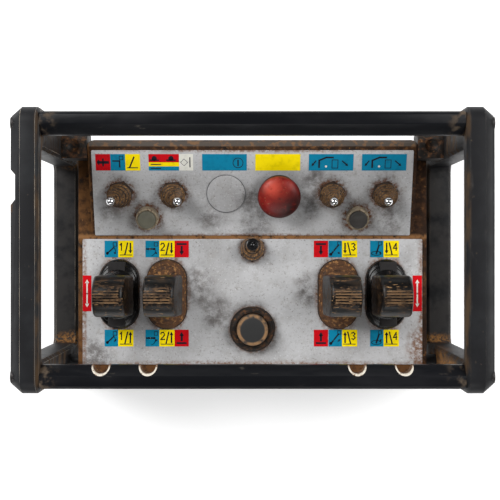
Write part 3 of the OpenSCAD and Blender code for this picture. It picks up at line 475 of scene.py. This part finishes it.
F = {
    "frame_coat": frame_coat(), "frame_edge": frame_edge(), "rail_tape": rail_tape(),
    "housing_plastic": housing_black(),
    "lever_plate": panel_grey("lever_plate_grey", [], LEVEL_PAINTED_SHADOWS, LEVEL_DUST),
    "switch_plate": panel_grey("switch_plate_grey", panel_spots(), CONSOLE_PAINTED_SHADOWS, CONSOLE_DUST),
    "disc_grey": panel_grey("disc_grey", [], CONSOLE_PAINTED_SHADOWS, []),
    "dark_steel": plain("dark_steel", srgb(60, 58, 58), 0.45, 0.8),
    "pale_plastic": chipped_white(),
    "black_rubber": rubber("black_rubber", srgb(26, 26, 27), 0.45, 0.25),
    "dusty_black": rubber("dusty_black", srgb(30, 26, 23), 0.5, 0.6, 4),
    "switch_plastic": rubber("switch_plastic", srgb(30, 30, 31), 0.5, 0.3),
    "dusty_steel": rubber("dusty_steel", srgb(48, 34, 24), 0.5, 0.6, 3, 0.3),
    "chrome": plain("chrome", srgb(225, 226, 228), 0.12, 1.0),
    "boot_rubber": boot_brown(),
    "stop_red": stop_red(),
    "spring_steel": plain("spring_steel", srgb(178, 180, 184), 0.3, 1.0),
    "cream_plastic": plain("cream_plastic", srgb(214, 206, 184), 0.5),
    "gloss_black": rubber("gloss_black", srgb(16, 16, 17), 0.15, shine=0.5),
    "button_olive": plain("button_olive", srgb(108, 106, 92), 0.35),
    "button_dark": plain("button_dark", srgb(66, 63, 60), 0.35),
    "bezel_metal": rubber("bezel_metal", srgb(158, 144, 122), 0.4, 0.5, 2),
    "paddle_black": paddle_black(),
    "gaiter_gloss": rubber("gaiter_gloss", srgb(13, 12, 12), 0.2, 0.22, 6, 0.25),
    "gaiter_dusty": rubber("gaiter_dusty", srgb(46, 29, 17), 0.42, 1, 5, 0.25),
    "enable_rubber": enable_rubber(),
    "board_green": plain("board_green", srgb(30, 108, 62), 0.4),
    "can_metal": plain("can_metal", srgb(190, 192, 194), 0.35, 0.9),
    "battery_blue": plain("battery_blue", srgb(52, 78, 140), 0.45),
    "ridge_matte": plain("ridge_matte", srgb(44, 42, 42), 0.75, shine=0.2),
    "rib_bronze": worn_rib(),
    "label_red": plain("label_red", srgb(200, 6, 20), 0.45, shine=0.12),
    "label_blue": plain("label_blue", srgb(8, 128, 163), 0.45, shine=0.12),
    "label_yellow": plain("label_yellow", srgb(255, 228, 0), 0.45, shine=0.12),
    "label_white": plain("label_white", srgb(226, 224, 214), 0.5),
    "ink": plain("ink", srgb(28, 28, 38), 0.5, shine=0.15),
    "ink_thin": plain("ink_thin", srgb(84, 84, 88), 0.5),
}

# ---- modelling helpers ----


def bare():
    """Leaves edit mode with nothing selected."""
    if bpy.context.object and bpy.context.object.mode != "OBJECT":
        bpy.ops.object.mode_set(mode="OBJECT")
    bpy.ops.object.select_all(action="DESELECT")


def take(piece):
    """Makes a piece the only one selected."""
    bare()
    piece.select_set(True)
    bpy.context.view_layer.objects.active = piece


def pick(kind, test):
    """In edit mode, selects the verts, edges or faces that pass a test of their middle."""
    bpy.ops.mesh.select_mode(type={"verts": "VERT", "edges": "EDGE", "faces": "FACE"}[kind])
    bpy.ops.mesh.select_all(action="DESELECT")
    data = bpy.context.object.data
    mesh = bmesh.from_edit_mesh(data)
    for part in getattr(mesh, kind):
        points = [part.co] if kind == "verts" else [vert.co for vert in part.verts]
        middle = sum(points, Vector()) / len(points) / MM
        part.select_set(bool(test(middle, part)))
    mesh.select_flush_mode()
    bmesh.update_edit_mesh(data)


def settle(piece, finish, body, stands_for=(), smooth=32):
    """Gives a piece its material, its shading and its body, and hides the nodes it stands for."""
    take(piece)
    if finish:
        piece.data.materials.clear()
        piece.data.materials.append(F[finish].material)
    bpy.ops.object.shade_smooth_by_angle(angle=math.radians(smooth))
    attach(piece, body)
    if stands_for:
        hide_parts(*stands_for)
    return piece


def place(piece, matrix):
    """Moves a piece to its place and leaves its object at the origin."""
    take(piece)
    piece.matrix_world = matrix @ piece.matrix_world
    bpy.ops.object.transform_apply(location=True, rotation=True, scale=True)
    return piece


def modified(piece, kind, **settings):
    """Adds a modifier and applies it."""
    take(piece)
    modifier = piece.modifiers.new(kind.lower(), kind)
    for name, value in settings.items():
        setattr(modifier, name, value)
    bpy.ops.object.modifier_apply(modifier=modifier.name)
    return piece


def skin(node, width, finish, worn=None, segments=2, angle=28):
    """Copy of a CAD node with its edges rounded, and worn if a worn finish is named."""
    piece = bpy.data.objects.new(node + "_skin", nodes[node].data.copy())
    bpy.context.scene.collection.objects.link(piece)
    take(piece)
    piece.data.materials.clear()
    piece.data.materials.append(F[finish].material)
    if worn:
        piece.data.materials.append(F[worn].material)
    bpy.ops.object.mode_set(mode="EDIT")
    bpy.ops.mesh.select_all(action="SELECT")
    bpy.ops.mesh.remove_doubles(threshold=0.00001)
    bpy.ops.mesh.dissolve_limited(angle_limit=math.radians(0.6))
    bpy.ops.object.mode_set(mode="OBJECT")
    modified(piece, "BEVEL", width=width * MM, segments=segments, limit_method="ANGLE",
             angle_limit=math.radians(angle), material=1 if worn else -1, use_clamp_overlap=True)
    return settle(piece, None, body_of_node[node], [node])


def turned(name, rings, sides=40):
    """Round piece about Z, from (radius, height) rings in millimetres; a last ring that
    repeats the first closes a hollow one."""
    bare()
    bpy.ops.mesh.primitive_circle_add(
        vertices=sides, radius=rings[0][0] * MM, location=(0, 0, rings[0][1] * MM))
    piece = bpy.context.object
    piece.name = name
    bpy.ops.object.transform_apply(location=True)
    bpy.ops.object.mode_set(mode="EDIT")
    bpy.ops.mesh.select_all(action="SELECT")
    for (r0, z0), (r1, z1) in zip(rings, rings[1:]):
        bpy.ops.mesh.extrude_region_move(TRANSFORM_OT_translate={"value": (0, 0, (z1 - z0) * MM)})
        bpy.ops.transform.resize(value=(r1 / r0, r1 / r0, 1), center_override=(0, 0, z1 * MM))
    bpy.ops.mesh.select_all(action="SELECT")
    bpy.ops.mesh.remove_doubles(threshold=0.00003)
    bpy.ops.mesh.fill_holes(sides=0)
    bpy.ops.mesh.normals_make_consistent(inside=False)
    bpy.ops.object.mode_set(mode="OBJECT")
    return piece


def leaned(piece, angle, axis, pivot, low, high, steps=7):
    """Bends an upright piece about a pivot height: nothing below low moves, all above high
    turns fully."""
    take(piece)
    bpy.ops.object.mode_set(mode="EDIT")
    for step in reversed(range(steps)):
        mark = low + (high - low) * (step + 0.5) / steps
        pick("verts", lambda p, v: p.z > mark)
        bpy.ops.transform.rotate(value=-angle / steps, orient_axis=axis,
                                 center_override=(0, 0, pivot * MM))
    bpy.ops.object.mode_set(mode="OBJECT")
    return piece


def block(name, low, high, bevel=0.0, segments=3):
    """Box between two corners in millimetres, with rounded edges."""
    bare()
    low, high = Vector(low), Vector(high)
    bpy.ops.mesh.primitive_cube_add(size=1, location=(low + high) / 2 * MM)
    piece = bpy.context.object
    piece.name = name
    piece.scale = (high - low) * MM
    bpy.ops.object.transform_apply(location=True, scale=True)
    if bevel:
        modified(piece, "BEVEL", width=bevel * MM, segments=segments, limit_method="NONE")
    return piece


def joined(name, parts):
    """One piece made of several."""
    bare()
    for part in parts:
        part.select_set(True)
    bpy.context.view_layer.objects.active = parts[0]
    bpy.ops.object.join()
    parts[0].name = name
    return parts[0]


def rounded_edges(piece, test, offset, segments):
    """Rounds the chosen edges of a piece."""
    take(piece)
    bpy.ops.object.mode_set(mode="EDIT")
    pick("edges", test)
    bpy.ops.mesh.bevel(offset=offset * MM, segments=segments, affect="EDGES")
    bpy.ops.object.mode_set(mode="OBJECT")
    return piece


def obround(name, rings, centre, sides=32):
    """Lofted piece on obround outlines: rings of half width, half length and height."""
    half_x, half_y, z = rings[0]
    bare()
    bpy.ops.mesh.primitive_circle_add(
        vertices=sides, radius=half_x * MM, location=(0, 0, z * MM), rotation=(0, 0, math.pi / sides))
    piece = bpy.context.object
    piece.name = name
    bpy.ops.object.transform_apply(location=True, rotation=True)
    bpy.ops.object.mode_set(mode="EDIT")
    for side in (-1, 1):
        pick("verts", lambda p, v: p.y * side > 0)
        bpy.ops.transform.translate(value=(0, side * (half_y - half_x) * MM, 0))
    bpy.ops.mesh.select_all(action="SELECT")
    for (x0, y0, z0), (x1, y1, z1) in zip(rings, rings[1:]):
        bpy.ops.mesh.extrude_region_move(TRANSFORM_OT_translate={"value": (0, 0, (z1 - z0) * MM)})
        bpy.ops.transform.resize(value=(x1 / x0, y1 / y0, 1), center_override=(0, 0, z1 * MM))
    bpy.ops.mesh.select_all(action="SELECT")
    bpy.ops.mesh.fill_holes(sides=0)
    bpy.ops.mesh.normals_make_consistent(inside=False)
    bpy.ops.object.mode_set(mode="OBJECT")
    return place(piece, Matrix.Translation(Vector((*centre, 0)) * MM))


# ---- frame, rails and housing ----

for side in ("left", "right"):
    skin(f"end_frame_{side}", 0.5, "frame_coat", "frame_edge")
skin("back_rail", 0.6, "rail_tape")
skin("front_rail", 0.7, "rail_tape")
skin("strap_bushes", 0.15, "pale_plastic")
skin("rear_lugs", 0.9, "dusty_black")
skin("top_cover", 0.8, "housing_plastic")
skin("lower_housing", 0.8, "housing_plastic")
skin("lever_plate", 0.25, "lever_plate")
skin("switch_plate", 0.25, "switch_plate")
skin("blanking_disc", 0.2, "disc_grey")
skin("boot_nuts", 0.4, "dusty_steel")
skin("rail_screws", 0.3, "dark_steel")
skin("frame_bolts", 0.3, "dark_steel")
skin("gaiter_rings", 0.7, "dusty_black", segments=3)
skin("button_bezels", 0.5, "bezel_metal", segments=3)
skin("enable_bezel", 1.1, "dusty_black", segments=3)
skin("stop_collar", 0.5, "switch_plastic")

# ---- switches and buttons on the console and in front of it ----


def toggle_boot(number):
    """Concertina boot, leaned over as far as its lever leans at rest."""
    folds = [(8.7, 4.0), (9.1, 4.6), (8.9, 5.6), (7.2, 6.2), (7.9, 6.9), (7.8, 7.9), (6.1, 8.6),
             (6.8, 9.3), (6.7, 10.3), (5.1, 11.0), (5.8, 11.7), (5.7, 12.7), (4.2, 13.3),
             (4.8, 14), (4.6, 15.0), (3.1, 15.6), (3.2, 16.3), (2.2, 16.8)]
    lean = math.radians(TOGGLE_REST[number - 1])
    boot = leaned(turned(f"toggle_boot_{number}", folds, 32), lean, "Y", 0, 4.5, 12)
    stand = on_console(TOGGLE_X[number - 1], DEVICE_V, PIVOT_W)
    place(boot, stand)
    settle(boot, "boot_rubber", "root", ["toggle_boots"] if number == 1 else [])
    boot.parent = None
    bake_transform(boot)


for number in (1, 2, 3, 4):
    skin(f"toggle_lever_{number}", 0.2, "chrome")
    toggle_boot(number)

stop_head = turned("stop_mushroom", [
    (6, 8.8), (14.2, 8.8), (15.2, 9.3), (15.5, 10.2), (15.4, 11.6), (14.9, 13), (13.8, 14.3),
    (12, 15.4), (9.6, 16.2), (6.6, 16.8), (3, 17.1), (0.8, 17.1)], 56)
place(stop_head, on_console(STOP_X, DEVICE_V))
settle(stop_head, "stop_red", "stop_head", ["stop_head"])

enable_cap = turned("enable_dome", [
    (8, 2), (11.3, 2), (11.5, 3), (11.5, 11.6), (11.1, 12.8), (10.2, 13.5), (8, 13.9),
    (4, 14), (0.8, 14)], 48)
place(enable_cap, on_level(ENABLE.x, ENABLE.y))
settle(enable_cap, "enable_rubber", "enable_cap", ["enable_cap"])

skin("centre_lever", 0.5, "gloss_black")
centre_boot = turned("centre_boot_folds", [
    (8.6, 4), (8.9, 4.8), (8.6, 5.6), (7, 6.2), (7.5, 7), (7.2, 8), (5.6, 8.8),
    (6, 9.6), (5.4, 10.8), (4.2, 11.6), (2.2, 11.7)], 36)
leaned(centre_boot, math.radians(-CENTRE_LEAN), "X", 0, 4.5, 9)
stand = on_level(0, CENTRE_Y, PIVOT_W)
place(centre_boot, stand)
settle(centre_boot, "boot_rubber", "root", ["centre_boot"])
centre_boot.parent = None
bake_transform(centre_boot)

for name, finish in (("start_button", "button_olive"), ("battery_button", "button_dark")):
    skin(name, 0.5, finish, segments=3)

# ---- proportional levers ----


def paddle(number):
    """Arched paddle with a drafted inner side and a ribbed crest."""
    x = LEVER_X[number - 1]
    out = 1 if x > 0 else -1
    low = Vector(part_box(f"lever_{number}")[0]) / MM
    high = Vector(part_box(f"lever_{number}")[1]) / MM
    crest = high.z - 0.5
    piece = block(f"paddle_{number}", (low.x, low.y, low.z), (high.x, high.y, crest))
    take(piece)
    bpy.ops.object.mode_set(mode="EDIT")
    pick("verts", lambda p, v: p.z > crest - 1 and (p.x - x) * out < 0)
    bpy.ops.transform.translate(value=(out * DRAFT * MM, 0, 0))
    bpy.ops.object.mode_set(mode="OBJECT")
    half = (high.y - low.y) / 2
    rounded_edges(piece, lambda p, e: p.z > crest - 1 and abs(p.y - LEVER_Y) > 1, half - 0.1, 9)
    modified(piece, "BEVEL", width=2.2 * MM, segments=3, limit_method="ANGLE",
             angle_limit=math.radians(50))
    settle(piece, "paddle_black", f"lever_{number}", [f"lever_{number}"])
    ribs = []
    for k in range(-2, 3):
        y = LEVER_Y + k * RIB_PITCH
        z = crest - half + math.sqrt(half ** 2 - (y - LEVER_Y) ** 2)
        bare()
        bpy.ops.mesh.primitive_cylinder_add(
            vertices=10, radius=RIB_R * MM, depth=RIB_LEN * MM, rotation=(0, math.pi / 2, 0),
            location=Vector((x + out * (12 - RIB_LEN / 2), y, z)) * MM)
        ribs.append(bpy.context.object)
        bpy.ops.object.transform_apply(location=True, rotation=True)
    crest_ribs = joined(f"paddle_ribs_{number}", ribs)
    modified(crest_ribs, "BEVEL", width=0.25 * MM, segments=2, limit_method="ANGLE")
    settle(crest_ribs, "rib_bronze", f"lever_{number}")


def gaiter(number):
    """Folded rubber gaiter between the flange on the plate and the underside of a paddle."""
    x = LEVER_X[number - 1]
    out = 1 if x > 0 else -1
    z = RING_TOP
    folds = [(14.4, 25.2, z), (14.3, 25.0, z + 1.4), (13.0, 22.8, z + 2.6), (12.2, 20.6, z + 3.2),
             (13.4, 22, z + 5.0), (12.9, 21, z + 6.2), (10.9, 17.2, z + 7.0), (12.2, 18.4, z + 8.8),
             (11.8, 17.4, z + 10), (9.8, 13.6, z + 10.8), (11.2, 14.8, z + 12.6),
             (11.6, 14, z + 14.6), (8, 9, z + 15)]
    finish = "gaiter_gloss" if number in (1, 4) else "gaiter_dusty"
    piece = obround(f"gaiter_folds_{number}", folds, (x, LEVER_Y))
    modified(piece, "BEVEL", width=0.5 * MM, segments=2, limit_method="ANGLE",
             angle_limit=math.radians(25))
    settle(piece, finish, "root", [f"gaiter_{number}"], smooth=60)
    piece.parent = None
    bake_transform(piece)
    if number in (1, 4):
        ridge = block(f"gaiter_ridge_{number}", (x + out - 6.2, LEVER_Y - 23.4, z + 0.5),
                      (x + out + 6.2, LEVER_Y + 23.9, z + 7.6), 1.2)
        settle(ridge, "ridge_matte", "root")


for number in (1, 2, 3, 4):
    paddle(number)
    gaiter(number)

# ---- labels: thin cards with printed signs ----

class Card:
    """Sign on one of the plates: flat cards and strokes laid on them, in millimetres."""

    def __init__(self, name, matrix):
        self.name, self.matrix, self.parts = name, matrix, {}

    def add(self, ink, piece):
        """Keeps a piece under the name of its finish."""
        self.parts.setdefault(ink, []).append(piece)

    def field(self, colour, x0, y0, x1, y1):
        """Coloured rectangle."""
        self.add(colour, block("field", (x0, y0, 0), (x1, y1, CARD_T)))

    def stroke(self, points, width, ink="ink"):
        """Line through points."""
        for (x0, y0), (x1, y1) in zip(points, points[1:]):
            length, turn = math.hypot(x1 - x0, y1 - y0), math.atan2(y1 - y0, x1 - x0)
            dash = block("dash", (-length / 2 - width / 2 * 0.8, -width / 2, CARD_T),
                         (length / 2 + width / 2 * 0.8, width / 2, CARD_T + INK_T))
            place(dash, Matrix.Translation(Vector(((x0 + x1) / 2, (y0 + y1) / 2, 0)) * MM)
                  @ Matrix.Rotation(turn, 4, "Z"))
            self.add(ink, dash)

    def disc(self, x, y, radius, ink="ink", sides=20, turn=0.0):
        """Flat round dot, or a triangle when it has three sides."""
        bare()
        bpy.ops.mesh.primitive_cylinder_add(
            vertices=sides, radius=radius * MM, depth=INK_T * MM, rotation=(0, 0, turn),
            location=Vector((x, y, CARD_T + INK_T / 2)) * MM)
        bpy.ops.object.transform_apply(location=True, rotation=True)
        self.add(ink, bpy.context.object)

    def ring(self, x, y, radius, width, ink="ink", start=0, end=360, squash=1.0):
        """Circle or arc drawn as a line, flattened by squash."""
        steps = max(6, int(abs(end - start) / 18), int(radius * 3))
        turns = [math.radians(start + (end - start) * i / steps) for i in range(steps + 1)]
        self.stroke([(x + radius * math.cos(t), y + radius * squash * math.sin(t)) for t in turns],
                    width, ink)

    def arrow(self, start, end, width, head, ink="ink"):
        """Line with a triangular head."""
        turn = math.atan2(end[1] - start[1], end[0] - start[0])
        neck = (end[0] - head * math.cos(turn), end[1] - head * math.sin(turn))
        self.stroke([start, neck], width, ink)
        self.disc(end[0] - head * 0.67 * math.cos(turn), end[1] - head * 0.67 * math.sin(turn),
                  head * 0.67, ink, 3, turn - math.pi / 2)

    def lay(self):
        """Joins what was drawn, one piece for each finish, and lays it on its plate."""
        for ink, parts in self.parts.items():
            piece = joined(f"{self.name}_{ink}", parts)
            place(piece, self.matrix)
            settle(piece, ink, "root")


def digit(card, number, x, y, h):
    """A plain numeral, its lower left corner at x and y."""
    w = h * 0.5
    shape = {
        1: [(0.1, 0.78), (0.5, 1), (0.5, 0)],
        2: [(0, 0.8), (0.25, 1), (0.75, 1), (1, 0.8), (1, 0.6), (0, 0), (1, 0)],
        3: [(0, 0.9), (0.5, 1), (0.95, 0.8), (0.5, 0.52), (1, 0.25), (0.5, 0), (0, 0.1)],
        4: [(0.8, 0), (0.8, 1), (0, 0.3), (1, 0.3)],
    }[number]
    card.stroke([(x + px * w, y + py * h) for px, py in shape], h * 0.16)


def box_outline(card, x, y, w, h, width, ink="ink", turn=0.0):
    """Rectangle drawn as a line round its middle."""
    corners = [(-w / 2, -h / 2), (w / 2, -h / 2), (w / 2, h / 2), (-w / 2, h / 2), (-w / 2, -h / 2)]
    c, s = math.cos(turn), math.sin(turn)
    card.stroke([(x + a * c - b * s, y + a * s + b * c) for a, b in corners], width, ink)


def yellow_sign(card, x0, x1, y0, y1, number, up, mirror):
    """Lever number, a leaning lever on its base line and an arrow."""
    card.field("label_yellow", x0, y0, x1, y1)
    w, h = x1 - x0, y1 - y0
    edge, way = (x1, -1) if mirror else (x0, 1)
    at = lambda a, b: (edge + way * a * w, y0 + b * h)
    digit_shift = -0.26 * w if mirror else 0
    digit(card, number, at(0.1, 0)[0] + digit_shift, y0 + 0.42 * h, 0.42 * h)
    card.stroke([at(0.44, 0.16), at(0.62, 0.86)], 1.0)
    card.stroke([at(0.12, 0.14), at(0.9, 0.14)], 0.6)
    start, end = (0.24, 0.88) if up else (0.84, 0.22)
    card.arrow(at(0.8, start), at(0.8, end), 1.1, 2.4)


def red_sign(card, x0, x1, y0, y1, up):
    """Arrow that leaves or meets a bar."""
    card.field("label_red", x0, y0, x1, y1)
    w, h, cx = x1 - x0, y1 - y0, (x0 + x1) / 2
    bar_y, start, end = (0.2, 0.36, 0.88) if up else (0.8, 0.64, 0.12)
    card.stroke([(x0 + 0.2 * w, y0 + bar_y * h), (x1 - 0.2 * w, y0 + bar_y * h)], 1.4)
    card.arrow((cx, y0 + start * h), (cx, y0 + end * h), 1.6, 3)


def blue_sign(card, x0, x1, y0, y1, number, up):
    """Boom pictogram, one kind for each lever."""
    card.field("label_blue", x0, y0, x1, y1)
    w, h = x1 - x0, y1 - y0
    at = lambda a, b: (x0 + a * w, y0 + b * h)
    if number == 1:
        card.stroke([at(0.2, 0.24), at(0.68, 0.6)], 1.0)
        card.disc(*at(0.2, 0.24), 1.1)
        box_outline(card, *at(0.76, 0.78), 2.6, 2.6, 0.45)
        card.ring(*at(0.3, 0.3), 0.52 * w, 0.4, start=2, end=36)
    elif number == 2:
        card.stroke([at(0.08, 0.5), at(0.56, 0.5)], 1.2)
        card.disc(*at(0.32, 0.5), 0.8, "label_white")
        box_outline(card, *at(0.76, 0.78), 2.6, 2.6, 0.45)
        card.disc(*at(0.64, 0.5), 0.9)
        card.ring(*at(0.3, 0.42), 0.42 * w, 0.45, start=-70, end=0)
    elif number == 3:
        for a, b in ((0.2, 0.34), (0.42, 0.56), (0.62, 0.74)):
            card.stroke([at(a, a), at(b, b)], 1.1)
        card.disc(*at(0.16, 0.18), 1.1)
        box_outline(card, *at(0.8, 0.84), 2.4, 2.4, 0.45)
    else:
        card.stroke([at(0.46, 0.22), at(0.66, 0.72)], 1.2)
        card.ring(*at(0.46, 0.24), 0.36 * w, 0.5, squash=0.42)
        box_outline(card, *at(0.74, 0.84), 2.4, 2.4, 0.45)
    tip = at(0.86, 0.2) if not up else at(0.88, 0.44)
    card.arrow(at(0.7, 0.3), tip, 0.6, 1.6)


def lever_labels():
    """Two rows of signs on the level plate, behind and in front of the levers."""
    rows = [("back", -5.2, 7.0, False), ("front", -70.9, -58.6, True)]
    spans = {1: [("blue", -108.9, -98.9), ("yellow", -98.9, -87.7)],
             2: [("blue", -78.8, -68.6), ("yellow", -68.6, -57.4), ("red", -57.4, -46.9)],
             3: [("red", 45.2, 55.7), ("blue", 56.1, 66), ("yellow", 66, 77.2)],
             4: [("blue", 86.7, 96.6), ("yellow", 96.6, 107.9)]}
    for row, y0, y1, up in rows:
        for number, signs in spans.items():
            card = Card(f"lever_{number}_sign_{row}", on_level(0, 0, PLATE_T))
            for kind, x0, x1 in signs:
                if kind == "blue":
                    blue_sign(card, x0, x1, y0, y1, number, up)
                elif kind == "yellow":
                    yellow_sign(card, x0, x1, y0, y1, number, up, number > 2)
                else:
                    red_sign(card, x0, x1, y0, y1, up)
            card.lay()
    for side, x0, x1 in (("left", -125.0, -118.7), ("right", 118.0, 124.9)):
        card = Card(f"side_sign_{side}", on_level(0, 0, PLATE_T))
        card.field("label_red", x0, -45, x1, -18.6)
        middle = (x0 + x1) / 2
        card.arrow((middle, -32), (middle, -42), 1.0, 2.6, "label_white")
        card.arrow((middle, -32), (middle, -21.6), 1.0, 2.6, "label_white")
        card.lay()


def console_labels():
    """Row of strips above the switches."""
    y0, y1 = LABEL_V - 6.05, LABEL_V + 6.05
    strip = Card("console_signs", on_console(0, 0, PLATE_T))
    strip.field("label_red", -112.9, y0, -102.2, y1)
    strip.stroke([(-111, LABEL_V), (-104, LABEL_V)], 2.0)
    strip.stroke([(-110.6, LABEL_V - 1.6), (-110.6, LABEL_V + 1.6)], 0.8)
    strip.stroke([(-107.5, LABEL_V - 2.4), (-107.5, LABEL_V + 2.4)], 1.2)
    strip.field("label_blue", -102.2, y0, -91.5, y1)
    strip.stroke([(-100.4, LABEL_V + 1), (-95.6, LABEL_V + 1), (-95.6, LABEL_V - 3.4)], 1.0)
    box_outline(strip, -94.4, LABEL_V + 3.2, 2.6, 2.6, 0.45)
    strip.field("label_yellow", -91.5, y0, -80.8, y1)
    strip.stroke([(-88.4, LABEL_V - 3.6), (-85.2, LABEL_V + 3.8)], 1.1)
    strip.stroke([(-90, LABEL_V - 4), (-82.6, LABEL_V - 4)], 0.7)
    strip.field("label_red", -74.7, LABEL_V, -52.8, y1)
    for x in (-70.6, -58.6):
        strip.disc(x, LABEL_V + 2.8, 1.9)
        strip.stroke([(x - 3, LABEL_V + 1.6), (x + 3, LABEL_V + 1.6)], 1.1)
    strip.field("label_yellow", -74.7, LABEL_V - 3, -52.8, LABEL_V)
    strip.field("label_blue", -74.7, y0, -52.8, LABEL_V - 3)
    strip.stroke([(-73, LABEL_V - 1.5), (-66, LABEL_V - 1.5)], 0.7)
    strip.stroke([(-73, LABEL_V - 4.5), (-66, LABEL_V - 4.5)], 0.7)
    strip.field("label_white", -52.8, y0, -42.7, y1)
    box_outline(strip, -49.2, LABEL_V, 3.6, 3.6, 0.35, "ink_thin", math.pi / 4)
    strip.stroke([(-45, LABEL_V - 3.4), (-45, LABEL_V + 3.4)], 0.8)
    strip.field("label_blue", -36.2, y0, -4.1, y1)
    strip.ring(-10.4, LABEL_V - 0.4, 3.6, 0.5)
    strip.stroke([(-10.4, LABEL_V - 2.4), (-10.4, LABEL_V + 1.6)], 1.0)
    strip.field("label_yellow", 2.0, y0, 34.4, y1)
    for x0, x1 in ((40.5, 72.6), (78.7, 110.8)):
        middle = (x0 + x1) / 2
        strip.field("label_blue", x0, y0, x1, y1)
        strip.stroke([(middle - 8.6, LABEL_V - 3.6), (middle - 8.6, LABEL_V + 1.4),
                      (middle - 3.4, LABEL_V + 3.6), (middle + 1.4, LABEL_V + 3.6)], 1.2)
        box_outline(strip, middle + 2.8, LABEL_V - 1.2, 4.2, 6, 0.5)
        strip.disc(middle - 3.6, LABEL_V - 3, 0.8, "label_white")
        strip.arrow((middle + 8, LABEL_V + 1), (middle + 12.4, LABEL_V - 2.8), 0.9, 2)
        strip.arrow((middle - 11, LABEL_V + 1), (middle - 14, LABEL_V - 2.8), 0.9, 2)
    strip.lay()
    rim = Card("blank_rim", on_console(0, 0, PLATE_T + 0.5))
    rim.ring(-STOP_X, DEVICE_V, 14, 0.35, "ink_thin")
    rim.lay()


lever_labels()
console_labels()

# ---- finishes for everything that keeps its CAD shape ----

for name, node in nodes.items():
    if not node.hide_render:
        node.data.materials.clear()
        node.data.materials.append(F[slot_of_node[name]].material)

# ---- floor, light and camera ----

LIGHT_AIM = Vector((0, 0, 0.06))
CAMERA_PLACE = Vector((-1.1, -1.3, 822)) * MM


def stage():
    """Pale floor under the station."""
    bare()
    bpy.ops.mesh.primitive_plane_add(size=6, location=(0, 0, -0.0005))
    floor = bpy.context.object
    floor.name = "floor"
    white = Finish("floor_white", (0.82, 0.82, 0.82), rough=0.9)
    white.set("Emission Color", (1, 1, 1, 1))
    white.set("Emission Strength", 0.45)
    floor.data.materials.append(white.material)


def softbox(name, power, size, place):
    """Soft rectangular light, turned towards the panel."""
    light = bpy.data.lights.new(name, "AREA")
    light.shape, light.size, light.size_y = "RECTANGLE", *size
    light.energy = power
    lamp = bpy.data.objects.new(name, light)
    lamp.location = place
    lamp.rotation_euler = (LIGHT_AIM - Vector(place)).to_track_quat("-Z", "Y").to_euler()
    bpy.context.scene.collection.objects.link(lamp)


stage()
softbox("key", 26, (0.9, 0.9), (-1.0, 0.75, 1.2))
softbox("fill", 18, (0.9, 0.9), (1.1, 0.45, 1.1))
softbox("front", 8, (1.2, 0.5), (0, -1.3, 0.9))

world = bpy.data.worlds.new("studio")
world.use_nodes = True
world.node_tree.nodes["Background"].inputs["Color"].default_value = (1, 1, 1, 1)
world.node_tree.nodes["Background"].inputs["Strength"].default_value = 0.14
bpy.context.scene.world = world
bpy.context.scene.view_settings.view_transform = "Standard"

lens = bpy.data.cameras.new("camera")
lens.lens, lens.sensor_width = 73.37, 36
lens.shift_x, lens.shift_y = -0.0019, 0.004
lens.clip_start, lens.clip_end = 0.02, 20
camera = bpy.data.objects.new("camera", lens)
camera.location = CAMERA_PLACE
bpy.context.scene.collection.objects.link(camera)
bpy.context.scene.camera = camera
